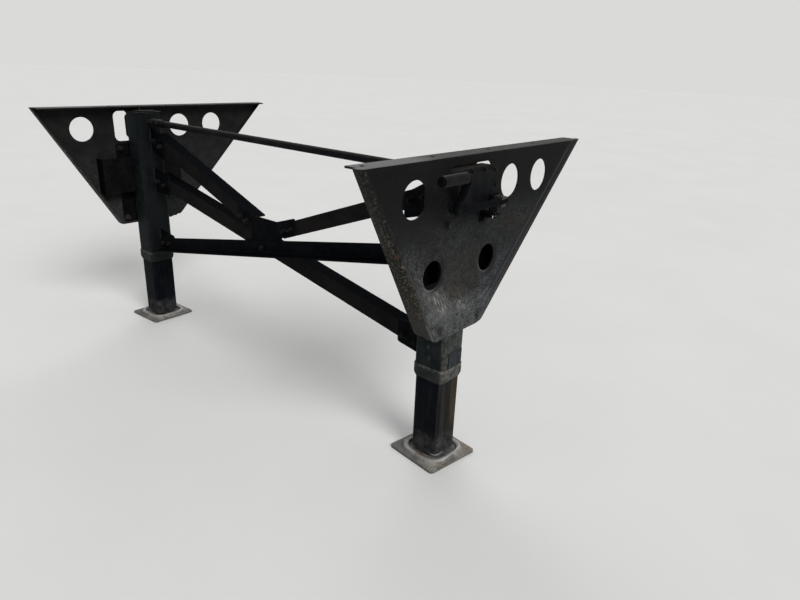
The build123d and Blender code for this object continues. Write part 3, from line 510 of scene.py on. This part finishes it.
def shoe_finish():
    """Pressed shoes: grey-beige dirt over worn paint, rim paler with a painted highlight, well darkened as painted
    shade, some rust.
    """
    f = Finish("shoe_dirt")
    h = f.add(f.z, MOUNT_H * MM)
    big, mid = f.noise(9.0, 3), f.noise(30.0, 5, 0.62)
    fine, grit = f.noise(170.0, 4, 0.7), f.noise(640.0, 3, 0.65)
    cx = f.x
    cy = f.sub(f.y, f.mul(f.math("SIGN", f.y), TRACK * MM))         # outboard is negative on the left shoe
    left = f.ramp(f.y, 0.0, -0.5)
    dirt = f.mix(f.ramp(f.add(f.mul(mid, 0.6), f.mul(fine, 0.4)), 0.42, 0.58), (0.098, 0.092, 0.083), (0.222, 0.213, 0.195))
    col = f.mix(f.ramp(big, 0.50, 0.68, 0.0, 0.5), dirt, (0.128, 0.110, 0.090))
    # painted shade and dirt: darker at the front, inboard corner
    shade = f.mul(f.ramp(f.add(cx, f.mul(cy, -0.7)), -0.030, -0.150), 0.78)
    col = f.mix(shade, col, f.mix(mid, (0.052, 0.050, 0.046), (0.098, 0.094, 0.088)))
    # painted highlight: the raised rim's upward faces are paler
    rim_highlight = f.mul(f.ramp(h, 0.0145, 0.0195), f.ramp(f.nz, 0.15, 0.75))
    col = f.mix(f.mul(rim_highlight, f.ramp(f.add(f.mul(fine, 0.5), f.mul(mid, 0.5)), 0.36, 0.58, 0.25, 0.75)), col, (0.262, 0.270, 0.264))
    # the well under the leg is painted darker: painted shade
    ax, ay = f.math("ABSOLUTE", cx), f.math("ABSOLUTE", cy)
    r = f.math("POWER", f.add(f.math("POWER", ax, 4.0), f.math("POWER", ay, 4.0)), 0.25)
    well = f.mul(f.ramp(r, 0.0865, 0.0795), f.inv(f.mul(rim_highlight, 0.6)))
    col = f.mix(f.mul(well, 0.88), col, f.mix(f.ramp(mid, 0.35, 0.65), (0.0480, 0.0470, 0.0450), (0.1050, 0.1040, 0.1000)))
    # painted highlight along the rim's crest on its rear, outboard side
    crest_highlight = f.mul(f.hill(r, 0.0885, 0.0012, 0.0035), f.ramp(f.add(cx, f.mul(cy, -0.6)), -0.060, 0.010))
    col = f.mix(f.mul(f.mul(crest_highlight, f.ramp(fine, 0.34, 0.52, 0.4, 1.0)), 0.80), col, (0.390, 0.385, 0.370))
    # rust spots
    spot = f.mul(f.patch(cx, f.y, -0.083, -0.975, 0.010, 0.016, 0.8), f.ramp(fine, 0.30, 0.55))
    col = f.mix(f.mul(spot, 0.70), col, (0.125, 0.070, 0.040))
    patch = f.mul(f.mul(f.patch(cx, f.y, 0.098, -1.062, 0.026, 0.020, 0.9), left), f.ramp(mid, 0.30, 0.60, 0.45, 1.0))
    col = f.mix(f.mul(patch, 0.60), col, (0.160, 0.128, 0.100))
    yel = f.mul(f.mul(f.patch(cx, f.y, -0.070, -1.066, 0.022, 0.018, 0.9), left), 0.14)
    pits = f.ramp(f.noise(105.0, 5, 0.72), 0.57, 0.68, 0.0, 0.55)
    col = f.mix(pits, col, (0.050, 0.047, 0.042))
    col = f.mix(yel, col, (0.215, 0.180, 0.118))
    bloom = f.mul(f.ramp(f.noise(40.0, 5, 0.7), 0.62, 0.72), f.ramp(f.noise(12.0, 2), 0.50, 0.62))
    col = f.mix(f.mul(bloom, 0.45), col, f.mix(fine, (0.060, 0.034, 0.020), (0.160, 0.080, 0.040)))
    corner = f.edge(0.0025)
    col = f.mix(f.mul(corner, 0.4), col, f.mix(fine, (0.090, 0.078, 0.064), (0.200, 0.190, 0.172)))
    # rolled edge and underside
    rim_side = f.mul(f.ramp(h, 0.0085, 0.0070), f.ramp(f.nz, 0.5, 0.1))
    col = f.mix(f.mul(rim_side, 0.55), col, f.mix(mid, (0.040, 0.036, 0.032), (0.105, 0.098, 0.088)))
    under = f.ramp(f.nz, -0.3, -0.8)
    col = f.mix(under, col, f.mix(mid, RUST_DARK, (0.060, 0.042, 0.032)))
    ro = f.lerp(f.mul(rim_highlight, 0.6), f.lerp(mid, 0.80, 0.94), 0.62)
    ht = f.add(f.mul(f.noise(60.0, 3), 0.55), f.add(f.mul(fine, 0.42), f.mul(grit, 0.26)))
    return f.surface(col, ro, ht, 0.0015, spec=0.16)


def brace_finish():
    f, col, ro, ht, d, r = painted("brace_paint", base=(0.0008, 0.0015, 0.0026), base2=(0.0026, 0.0036, 0.0048), dust=0.06,
                                   dust_col=(0.036, 0.034, 0.031), top=0.16, ground=0.0, rust=0.06, gloss=0.50, spots=0.10, streak=0.04)
    # mill marks along the bars
    mill = f.noise(1.0, 3, 0.6, f.scaled(160.0, 3.0, 160.0))
    col = f.mix(f.mul(f.ramp(mill, 0.56, 0.70), 0.16), col, (0.016, 0.017, 0.018))
    # upper sides painted near-black as painted shade, a little grime on the upright sides of the rear bars
    up = f.ramp(f.nz, 0.5, 0.9)
    col = f.mix(f.mul(up, 0.88), col, (0.0005, 0.0010, 0.0021))
    ro = f.lerp(f.mul(up, 0.8), ro, 0.95)
    upright = f.mul(f.ramp(f.x, 0.0, 0.003), f.ramp(f.nz, 0.5, 0.2))
    grime = f.mul(upright, f.ramp(f.noise(9.0, 3), 0.36, 0.62, 0.45, 0.90))
    col = f.mix(grime, col, f.mix(mill, (0.0086, 0.0078, 0.0075), (0.0128, 0.0117, 0.0112)))
    ht = f.add(ht, f.mul(mill, 0.18))
    return f.surface(col, ro, ht, spec=0.018)


def steel_finish(name, col_a, col_b, rust=0.5, metal=0.75, rough=(0.32, 0.55)):
    """Bare or plated steel with grease and rust."""
    f = Finish(name)
    mid, fine = f.noise(42.0, 4, 0.6), f.noise(210.0, 4, 0.65)
    col = f.mix(f.ramp(fine, 0.3, 0.7), col_a, col_b)
    r = f.mul(f.ramp(f.add(f.mul(mid, 0.7), f.mul(fine, 0.35)), 0.50, 0.64), rust)
    r = f.mx(r, f.mul(f.mul(f.edge(0.0015), f.ramp(fine, 0.4, 0.6)), rust))
    col = f.mix(r, col, f.mix(fine, RUST_DARK, RUST))
    ro = f.lerp(r, f.lerp(fine, rough[0], rough[1]), 0.9)
    ht = f.add(f.mul(fine, 0.30), f.mul(f.noise(520.0, 2), 0.12))
    return f.surface(col, ro, ht, 0.0008, metal=f.lerp(r, metal, 0.0))


def weld_finish():
    """Beads on the legs: dusty grey-olive, paler outboard."""
    f = Finish("weld_bead")
    mid, fine = f.noise(60.0, 3), f.noise(320.0, 3, 0.65)
    col = f.mix(f.ramp(mid, 0.35, 0.65), (0.0200, 0.0225, 0.0215), (0.0560, 0.0570, 0.0520))
    col = f.mix(f.mul(f.outboard(0.2, 0.7), f.ramp(mid, 0.42, 0.60)), col, (0.115, 0.112, 0.102))
    col = f.mix(f.mul(f.ramp(f.noise(90.0, 4), 0.58, 0.68), 0.5), col, (0.040, 0.027, 0.019))
    return f.surface(col, f.lerp(fine, 0.55, 0.85), fine, 0.0006, spec=0.2)


def foot_weld_finish():
    f = Finish("foot_weld")
    mid, fine = f.noise(60.0, 3), f.noise(320.0, 3, 0.65)
    col = f.mix(f.ramp(mid, 0.35, 0.65), (0.0140, 0.0140, 0.0140), (0.0380, 0.0370, 0.0360))
    near = f.mul(f.ramp(f.x, -0.010, -0.030), f.ramp(f.math("ABSOLUTE", f.y), 0.998, 1.016))
    col = f.mix(f.mul(near, f.ramp(fine, 0.34, 0.52, 0.45, 0.90)), col, (0.230, 0.228, 0.220))
    return f.surface(col, f.lerp(fine, 0.50, 0.80), fine, 0.0006, spec=0.2)


def dark_weld_finish():
    f = Finish("painted_weld")
    mid, fine = f.noise(60.0, 3), f.noise(320.0, 3, 0.65)
    col = f.mix(f.ramp(mid, 0.35, 0.65), (0.0045, 0.0050, 0.0058), (0.0140, 0.0138, 0.0135))
    col = f.mix(f.mul(f.ramp(f.noise(90.0, 4), 0.60, 0.68), 0.5), col, (0.026, 0.016, 0.010))
    return f.surface(col, f.lerp(fine, 0.45, 0.8), fine, 0.0006, spec=0.18)


def blank_finish():
    """Blank data plate, painted over and scuffed."""
    f = Finish("blank_plate_metal")
    mid, fine = f.noise(55.0, 4), f.noise(300.0, 4, 0.65)
    col = f.mix(f.ramp(mid, 0.35, 0.65), (0.0062, 0.0084, 0.0112), (0.0180, 0.0215, 0.0262))
    rub = f.noise(1.0, 2, 0.5, f.scaled(500.0, 60.0, 40.0))
    col = f.mix(f.mul(f.ramp(rub, 0.54, 0.66), 0.55), col, (0.048, 0.053, 0.060))
    # painted shadow along the plate's front edge
    edge_shadow = f.ramp(f.x, -0.026, -0.0295)
    col = f.mix(f.mul(edge_shadow, 0.8), col, (0.0050, 0.0055, 0.0070))
    col = f.mix(f.mul(f.edge(0.0015), 0.35), col, (0.070, 0.070, 0.070))
    return f.surface(col, f.lerp(fine, 0.45, 0.66), f.add(fine, f.mul(mid, 0.6)), 0.0006, metal=0.10, spec=0.12)


def grip_finish():
    f = Finish("worn_grip")
    mid, fine = f.noise(60.0, 4), f.noise(320.0, 4, 0.65)
    col = f.mix(f.ramp(mid, 0.35, 0.65), (0.0034, 0.0036, 0.0042), (0.0080, 0.0081, 0.0084))
    col = f.mix(f.mul(f.ramp(fine, 0.52, 0.68), 0.20), col, (0.036, 0.034, 0.032))
    ring = f.math("SINE", f.mul(f.x, 900.0))
    return f.surface(col, f.lerp(mid, 0.55, 0.80), f.add(f.mul(fine, 0.4), f.mul(ring, 0.35)), 0.0007, spec=0.08)


def dusty_bolt_finish():
    """Bolts of the plates: as pale as the plate round them."""
    f = Finish("dusty_bolts")
    h = f.add(f.z, MOUNT_H * MM)
    mid, fine = f.noise(70.0, 4), f.noise(320.0, 4, 0.65)
    low = f.mix(mid, (0.0250, 0.0250, 0.0245), (0.0620, 0.0610, 0.0580))
    col = f.mix(f.ramp(h, 0.70, 0.80), low, f.mix(mid, (0.0090, 0.0092, 0.0094), (0.0190, 0.0190, 0.0188)))
    col = f.mix(f.mul(f.ramp(fine, 0.54, 0.66), 0.35), col, (0.0300, 0.0180, 0.0120))
    # painted shade on the nuts facing inboard
    col = f.mix(f.mul(f.outboard(-0.3, -0.7), 0.8), col, (0.0050, 0.0052, 0.0058))
    return f.surface(col, f.lerp(fine, 0.55, 0.80), fine, 0.0006, spec=0.12)


def floor_finish():
    f = Finish("pale_floor")
    mid, fine = f.noise(1.3, 3), f.noise(40.0, 3)
    col = f.mix(f.ramp(mid, 0.3, 0.7), (0.580, 0.579, 0.573), (0.596, 0.595, 0.589))
    return f.surface(col, f.lerp(fine, 0.96, 1.0), fine, 0.0001, spec=0.0)


M = {
    "plate": wing_finish(),
    "inner": inner_finish(),
    "outer": outer_finish(),
    "collar": collar_finish(),
    "shoe": shoe_finish(),
    "brace": brace_finish(),
    "black": plain("black_frame_paint"),
    "cast": plain("cast_housing_paint", base=(0.0018, 0.0023, 0.0032), base2=(0.0048, 0.0053, 0.0062), dust=0.10, top=0.40, gloss=0.52,
                  lumps=0.15, cast=0.55, rust=0.08),
    # black paint kept darker and cleaner than the frame's: painted shade, and less dust
    "crank": plain("crank_paint", spec=0.02, base=(0.0012, 0.0017, 0.0028), base2=(0.0028, 0.0034, 0.0045), dust=0.03, top=0.04, rust=0.10, gloss=0.50,
                   wear=0.15, spots=0.05, streak=0.0, ground=0.0),
    "steel": steel_finish("dull_steel", (0.012, 0.0116, 0.011), (0.032, 0.031, 0.029), rust=0.45, metal=0.40, rough=(0.45, 0.70)),
    "zinc": steel_finish("bright_plating", (0.72, 0.72, 0.70), (0.90, 0.90, 0.88), rust=0.06, metal=0.9, rough=(0.22, 0.36)),
    "bolt": plain("black_bolts", base=(0.0025, 0.0026, 0.0030), base2=(0.0052, 0.0052, 0.0055), dust=0.12, top=0.25, rust=0.10, gloss=0.44,
                  wear=0.20, ground=0.0, lumps=0.1),
    # darker, cleaner black for the brackets behind the plates: painted shade, and less dust
    "shaded_clean": plain("shaded_clean_paint", base=(0.0012, 0.0013, 0.0016), base2=(0.0030, 0.0030, 0.0034), dust=0.04, top=0.20, ground=0.0, rust=0.05,
                       wear=0.10, spots=0.03, streak=0.02),
    "dusty": dusty_bolt_finish(),
    "weld": weld_finish(),
    "weld_dark": dark_weld_finish(),
    "weld_foot": foot_weld_finish(),
    "blank": blank_finish(),
    "grip": grip_finish(),
}

FINISH_OF = (
    ("wing_plate", "plate"), ("leg_bracket", "shaded_clean"), ("bracket_boxes", "shaded_clean"), ("outer_leg", "outer"), ("leg_collar", "collar"),
    ("leg_cap", "black"), ("inner_leg", "inner"), ("foot_pin", "steel"), ("shoe_", "shoe"), ("brace_", "brace"), ("stay_", "brace"),
    ("gearbox", "cast"), ("gear_cover", "cast"), ("input_shaft", "steel"), ("crank_arm", "crank"), ("crank_pin", "steel"),
    ("crank_grip", "grip"), ("crank_hanger", "crank"), ("cross_shaft", "black"), ("shaft_stub", "steel"), ("shaft_coupling", "black"),
    ("blank_plate", "blank"),
)
for node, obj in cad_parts.items():
    key = next(k for start, k in FINISH_OF if node.startswith(start))
    if not obj.material_slots:
        obj.data.materials.append(M[key])
    for s in obj.material_slots:
        s.material = M[key]


# ------------------------------------------------------------- small pieces
def place(p, axis, spin=0.0):
    """Matrix that puts local Z along axis at p (mm)."""
    z = Vector(axis).normalized()
    side = Vector((0, 0, 1)) if abs(z.z) < 0.9 else Vector((1, 0, 0))
    x = side.cross(z).normalized()
    y = z.cross(x)
    m = Matrix((x, y, z)).transposed().to_4x4()
    return Matrix.Translation(Vector(p)) @ m @ Matrix.Rotation(math.radians(spin), 4, "Z")


class Kit:
    """Many small closed forms in one mesh, in mm."""

    def __init__(self, name):
        self.name, self.v, self.f = name, [], []

    def rings(self, rings, m, close=False):
        """Skin between rings of equal count, capped at both ends unless they close on each other."""
        n, start = len(rings[0]), len(self.v)
        for ring in rings:
            self.v += [m @ Vector(p) for p in ring]
        k = len(rings)
        for a in range(k if close else k - 1):
            b = (a + 1) % k
            for i in range(n):
                j = (i + 1) % n
                self.f.append((start + a * n + i, start + a * n + j, start + b * n + j, start + b * n + i))
        if not close:
            self.f.append(tuple(start + i for i in reversed(range(n))))
            self.f.append(tuple(start + (k - 1) * n + i for i in range(n)))

    def lathe(self, profile, m, n=28):
        """Rings of (radius, height)."""
        self.rings([[(r * math.cos(2 * math.pi * i / n), r * math.sin(2 * math.pi * i / n), h) for i in range(n)]
                    for r, h in profile], m)

    def hexagon(self, af, h, m, h0=0.0):
        """Hexagon head or nut with a turned chamfer."""
        n, rc = 36, af / 2 * 0.94
        rows = []
        angles = [2 * math.pi * i / n for i in range(n)]
        hexr = [af / 2 / math.cos((a + math.pi / 6) % (math.pi / 3) - math.pi / 6) for a in angles]
        rows.append([(r * 0.985 * math.cos(a), r * 0.985 * math.sin(a), h0) for a, r in zip(angles, hexr)])
        rows.append([(r * math.cos(a), r * math.sin(a), h0 + 0.4) for a, r in zip(angles, hexr)])
        rows.append([(r * math.cos(a), r * math.sin(a), h0 + h - (r - rc) * 0.577) for a, r in zip(angles, hexr)])
        rows.append([(rc * math.cos(a), rc * math.sin(a), h0 + h) for a in angles])
        rows.append([(rc * 0.86 * math.cos(a), rc * 0.86 * math.sin(a), h0 + h) for a in angles])
        rows.append([(rc * 0.80 * math.cos(a), rc * 0.80 * math.sin(a), h0 + h - 0.35) for a in angles])
        self.rings(rows, m)

    def bolt(self, p, axis, af=18.0, h=None, washer=True, spin=0.0):
        """Head on a washer."""
        m = place(p, axis, spin)
        t = 0.0
        if washer:
            t = 0.14 * af
            r = af * 0.70
            self.lathe([(r * 0.97, -0.4), (r, 0.2), (r, t - 0.3), (r - 0.4, t)], m)
        self.hexagon(af, h or af * 0.58, m, t - 0.05)

    def nut(self, p, axis, af=18.0, end=6.0, spin=0.0):
        """Nut on a washer, with the threaded end standing out of it."""
        m = place(p, axis, spin)
        t, r = 0.14 * af, af * 0.70
        self.lathe([(r * 0.97, -0.4), (r, 0.2), (r, t - 0.3), (r - 0.4, t)], m)
        h = af * 0.72
        self.hexagon(af, h, m, t - 0.05)
        self.thread(m, af * 0.33, t + h - 1.0, end + 1.0)

    def thread(self, m, r, h0, length, pitch=1.6):
        prof, z = [], h0
        while z < h0 + length - pitch:
            prof += [(r * 0.90, z), (r, z + pitch * 0.5)]
            z += pitch
        prof += [(r * 0.90, z), (r * 0.78, h0 + length)]
        self.lathe(prof, m, 20)

    def bead(self, pts, r, closed=False, pitch=4.2, flat=1.0, seed=0.0):
        """Weld bead: overlapping puddles along a line."""
        pts = [Vector(p) for p in pts]
        if closed:
            pts = pts + [pts[0]]
        dist = [0.0]
        for a, b in zip(pts, pts[1:]):
            dist.append(dist[-1] + (b - a).length)
        step = pitch / 4
        count = max(4, round(dist[-1] / step))
        rows, k, n = [], 0, 10
        for i in range(count + (0 if closed else 1)):
            s = dist[-1] * i / count
            while k < len(pts) - 2 and s > dist[k + 1]:
                k += 1
            t = (s - dist[k]) / max(dist[k + 1] - dist[k], 1e-9)
            c = pts[k].lerp(pts[k + 1], t)
            ta = (pts[k + 1] - pts[k]).normalized()
            # soften the turn
            if t > 0.5 and (k + 2 < len(pts) or closed):
                nx = (pts[(k + 2) if k + 2 < len(pts) else 1] - pts[k + 1]).normalized()
                ta = ta.lerp(nx, t - 0.5).normalized()
            elif t < 0.5 and (k > 0 or closed):
                pv = (pts[k] - pts[k - 1 if k > 0 else -2]).normalized()
                ta = ta.lerp(pv, 0.5 - t).normalized()
            side = Vector((0, 0, 1)) if abs(ta.z) < 0.9 else Vector((0, 1, 0))
            u = ta.cross(side).normalized()
            w = u.cross(ta)
            ph = (s / pitch + seed) % 1.0
            q = r * (0.86 + 0.16 * math.sin(math.pi * ph) + 0.05 * math.sin(s * 0.21 + seed * 7.0) + 0.04 * math.sin(s * 0.57 + seed))
            if not closed:
                e = min(s, dist[-1] - s)
                q *= min(1.0, 0.45 + 0.55 * e / (r * 1.5))
            rows.append([tuple(c + u * (q * math.cos(2 * math.pi * j / n)) + w * (q * flat * math.sin(2 * math.pi * j / n)))
                         for j in range(n)])
        self.rings(rows, Matrix.Identity(4), closed)

    def done(self, finish, body="root", smooth=35.0):
        mesh = bpy.data.meshes.new(self.name)
        mesh.from_pydata([tuple(p * MM) for p in self.v], [], self.f)
        bm = bmesh.new()
        bm.from_mesh(mesh)
        bmesh.ops.recalc_face_normals(bm, faces=bm.faces)
        bm.to_mesh(mesh)
        bm.free()
        mesh.shade_smooth()
        mesh.set_sharp_from_angle(angle=math.radians(smooth))
        obj = bpy.data.objects.new(self.name, mesh)
        bpy.context.scene.collection.objects.link(obj)
        mesh.materials.append(M[finish])
        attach(obj, body)
        return obj


def rounded_square(half, r, h, y0, steps=6):
    """Points round a square tube centred on (0, y0)."""
    pts = []
    for q in range(4):
        a0 = q * math.pi / 2
        cx = (half - r) * (1 if q in (0, 3) else -1)
        cy = (half - r) * (1 if q in (0, 1) else -1)
        for i in range(steps + 1):
            a = a0 + math.pi / 2 * i / steps
            pts.append((cx + r * math.cos(a), y0 + cy + r * math.sin(a), h))
    return pts


SIDES = (("left", -1.0), ("right", 1.0))

# wing plate bolts through the leg brackets, nuts behind
for side, s in SIDES:
    k = Kit("bracket_bolts_" + side)
    for i, (x, h) in enumerate(((-109.5, 556.0), (109.5, 556.0), (-109.5, 916.0), (109.5, 916.0))):
        k.bolt((x, s * YO, gz(h)), (0, s, 0), 19.0, 8.0, spin=17.0 * i)
        k.nut((x, s * (TRACK + OUT_HALF), gz(h)), (0, -s, 0), 22.0, spin=31.0 * i)
    k.done("dusty")

# brace bolts: (y, height, x of the head, direction of the head, x of the nut)
k = Kit("brace_bolts")
rows = [(22.0, 588.0, -10.4, -1.0, 10.4)]
for s in (-1.0, 1.0):
    for y in (808.0, 868.0):
        rows.append((s * y, 562.0 - SLOPE * s * y + 36.0, -10.4, -1.0, 4.0))
        rows.append((s * y, 562.0 + SLOPE * s * y + 28.0, 10.4, 1.0, -4.0))
    for y in (130.0, 172.0, 812.0, 870.0):
        rows.append((s * y, 614.0 + STAY_SLOPE * y + 29.0, 10.4, 1.0, -4.0))
for i, (y, h, xh, d, xn) in enumerate(rows):
    k.bolt((xh, y, gz(h)), (d, 0, 0), 19.0, spin=23.0 * i)
    k.nut((xn, y, gz(h)), (-d, 0, 0), 19.0, 7.0, spin=41.0 * i)
k.done("bolt")

# gearbox cover bolts
k = Kit("gearbox_bolts")
gx0, gx1, g0, g1, inset = -110.0, 108.0, 960.0, 1090.0, 8.5
c = 34.0 - (34.0 - inset) * math.sqrt(0.5)
spots = [(gx0 + c, g0 + c), (gx0 + c, g1 - c), (gx1 - c, g1 - c), (gx0 + inset, 1025.0), (gx1 - inset, 1025.0),
         (-40.0, g0 + inset), (28.0, g0 + inset), (-40.0, g1 - inset), (30.0, g1 - inset)]
for i, (x, h) in enumerate(spots):
    k.bolt((x, -(TRACK + 108.0), gz(h)), (0, -1, 0), 12.0, 6.0, spin=29.0 * i)
k.done("bolt")

k = Kit("gear_cover_bolts")
for i, (x, h) in enumerate(((-47.0, -47.0), (47.0, -47.0), (-47.0, 47.0), (47.0, 47.0), (-47.0, 0.0), (47.0, 0.0))):
    k.bolt((x, TRACK + OUT_HALF + 14.0, gz(1024.0 + h)), (0, 1, 0), 12.0, 6.0, spin=29.0 * i)
k.done("bolt")

# coupling bolts
k = Kit("coupling_bolts")
for s in (-1.0, 1.0):
    for i, y in enumerate((REACH - 44.0, REACH - 98.0)):
        k.bolt((-18.0, s * y, gz(1054.0)), (-1, 0, 0), 13.0, 6.5, spin=20.0 * i)
        k.nut((18.0, s * y, gz(1054.0)), (1, 0, 0), 13.0, 4.0, spin=33.0 * i)
k.done("bolt")

# crank bracket: bolt through its tab, and the bright bolt end under its shelf
k = Kit("crank_bracket_bolt")
k.bolt((81.0, -(YO + 5.0), gz(909.0)), (0, -1, 0), 14.0, 6.5, spin=12.0)
k.done("bolt")
k = Kit("crank_bracket_bolt_end")
k.nut((71.0, -(TRACK + 131.0), gz(928.0)), (0, 0, -1), 10.0, 0.8, spin=8.0)
k.done("zinc")
k = Kit("crank_bracket_bolt_head")
k.bolt((71.0, -(TRACK + 131.0), gz(934.0)), (0, 0, 1), 10.0, 5.0, spin=8.0)
k.done("bolt")

# rivets of the blank plate
k = Kit("blank_plate_rivets")
for x in (-25.0, 41.0):
    for h in (383.0, 430.0):
        k.lathe([(3.0, -0.5), (3.0, 0.2), (2.6, 1.0), (1.6, 1.5), (0.4, 1.7)], place((x, -(TRACK + OUT_HALF + 3.0), gz(h)), (0, -1, 0)), 16)
k.done("steel")

# grease fittings on the caps and the gearbox
ZERK = [(4.2, -0.5), (4.2, 3.0), (3.0, 3.2), (3.0, 6.0), (2.0, 6.6), (2.0, 8.0), (2.9, 8.6), (2.9, 10.2), (1.6, 11.4), (0.5, 11.6)]
k = Kit("grease_fittings")
for s in (-1.0, 1.0):
    k.lathe(ZERK, place((-28.0, s * (TRACK - 24.0), gz(1106.0)), (0, 0, 1)), 16)
    k.lathe(ZERK, place((0.0, s * (TRACK - OUT_HALF), gz(760.0)), (0, -s, 0)), 16)
k.lathe(ZERK, place((-60.0, -(TRACK + 112.0), gz(1040.0)), (0, -1, 0)), 16)
k.done("steel")

# weld beads
for side, s in SIDES:
    yc = s * TRACK
    k = Kit("leg_welds_" + side)
    k.bead(rounded_square(65.2, 22.4, gz(374.4), yc), 2.3, True, 5.0, 0.9, 0.3)
    k.done("weld")
    k = Kit("foot_welds_" + side)
    k.bead(rounded_square(59.5, 18.0, gz(23.5), yc), 1.9, True, 5.5, 0.8, 0.7)
    k.done("weld_foot")
    k = Kit("frame_welds_" + side)
    k.bead(rounded_square(65.0, 22.0, gz(1095.2), yc), 3.0, True, 5.0, 0.9, 0.1)
    for x in (-1.0, 1.0):
        k.bead([(x * 53.0, s * (TRACK + OUT_HALF - 1.5), gz(546.0)), (x * 53.0, s * (TRACK + OUT_HALF - 1.5), gz(930.0))], 4.6, seed=x)
        for a, b in ((377.0, 497.0), (703.0, 825.0), (909.0, 1027.0)):
            k.bead([(x * 6.0, s * (REACH - 1.6), gz(a)), (x * 6.0, s * (REACH - 1.6), gz(b))], 3.6, seed=x + a)
    k.done("weld_dark")
    # lug welds in the shoe
    k = Kit("shoe_welds_" + side)
    for ly in (-34.0, -22.0, 22.0, 34.0):
        off = 1.2 if ly in (34.0, -22.0) else -1.2
        k.bead([(-23.0, yc + ly + off, gz(11.0)), (23.0, yc + ly + off, gz(11.0))], 2.6, seed=ly)
    k.done("weld_dark", "shoe_" + side)

# ------------------------------------------------------------ floor and light
GROUND = -MOUNT_H * MM
mesh = bpy.data.meshes.new("floor")
n, R = 96, 60.0
mesh.from_pydata([(0.0, 0.0, GROUND - 0.0003)] + [(R * math.cos(2 * math.pi * i / n), R * math.sin(2 * math.pi * i / n), GROUND - 0.0003)
                                                 for i in range(n)], [], [(0, 1 + i, 1 + (i + 1) % n) for i in range(n)])
floor = bpy.data.objects.new("floor", mesh)
bpy.context.scene.collection.objects.link(floor)
mesh.materials.append(floor_finish())

world = bpy.data.worlds.new("studio")
bpy.context.scene.world = world
world.use_nodes = True
wt = world.node_tree
wt.nodes.clear()
wo = wt.nodes.new("ShaderNodeOutputWorld")
bg = wt.nodes.new("ShaderNodeBackground")
wt.links.new(bg.outputs[0], wo.inputs[0])
wc = wt.nodes.new("ShaderNodeTexCoord")
ws = wt.nodes.new("ShaderNodeSeparateXYZ")
wt.links.new(wc.outputs["Generated"], ws.inputs[0])
wr = wt.nodes.new("ShaderNodeValToRGB")
wt.links.new(ws.outputs[2], wr.inputs[0])
# as pale as the lit floor near the horizon, dimmer above
for at, level in ((0.10, 0.700), (0.22, 0.42), (0.45, 0.28), (0.95, 0.32)):
    e = wr.color_ramp.elements[0] if at == 0.10 else (wr.color_ramp.elements[1] if at == 0.95 else wr.color_ramp.elements.new(at))
    e.position = at
    e.color = (level, level * 0.998, level * 0.990, 1.0)
wt.links.new(wr.outputs[0], bg.inputs[0])
bg.inputs[1].default_value = 1.0


def sun(name, towards, strength, angle, colour=(1.0, 1.0, 1.0)):
    """A broad soft light; towards points from the object to it."""
    light = bpy.data.lights.new(name, "SUN")
    light.energy, light.angle, light.color = strength, math.radians(angle), colour
    o = bpy.data.objects.new(name, light)
    o.rotation_mode = "QUATERNION"
    o.rotation_quaternion = (-Vector(towards)).to_track_quat("-Z", "Y")
    bpy.context.scene.collection.objects.link(o)
    return o


sun("key", (-0.20, -0.76, 0.62), 2.45, 28.0, (1.0, 0.994, 0.982))
sun("back", (0.56, 0.62, 0.55), 1.30, 50.0, (0.97, 0.985, 1.0))

# ------------------------------------------------------------------- camera
# the photograph's place and angle, for an image of 800 by 600
YAW, PITCH, ROLL, FOCAL_PX = 0.88188, 0.36635, 0.043157, 618.8
fwd0 = Vector((math.sin(YAW), math.cos(YAW), 0.0))
right0 = Vector((math.cos(YAW), -math.sin(YAW), 0.0))
zz = Vector((0.0, 0.0, 1.0))
fwd = fwd0 * math.cos(PITCH) - zz * math.sin(PITCH)
up = fwd0 * math.sin(PITCH) + zz * math.cos(PITCH)
right = right0 * math.cos(ROLL) + up * math.sin(ROLL)
up2 = up * math.cos(ROLL) - right0 * math.sin(ROLL)
cam = bpy.data.cameras.new("camera")
cam.sensor_fit, cam.sensor_width = "HORIZONTAL", 36.0
cam.lens = FOCAL_PX / 800.0 * 36.0
cam.clip_start, cam.clip_end = 0.05, 200.0
camera = bpy.data.objects.new("camera", cam)
camera.matrix_world = Matrix.Translation((-1.6566, -2.1419, 0.2590)) @ Matrix((right, up2, -fwd)).transposed().to_4x4()
bpy.context.scene.collection.objects.link(camera)
bpy.context.scene.camera = camera

view = bpy.context.scene.view_settings
view.view_transform, view.look, view.exposure, view.gamma = "Standard", "None", 0.0, 1.0
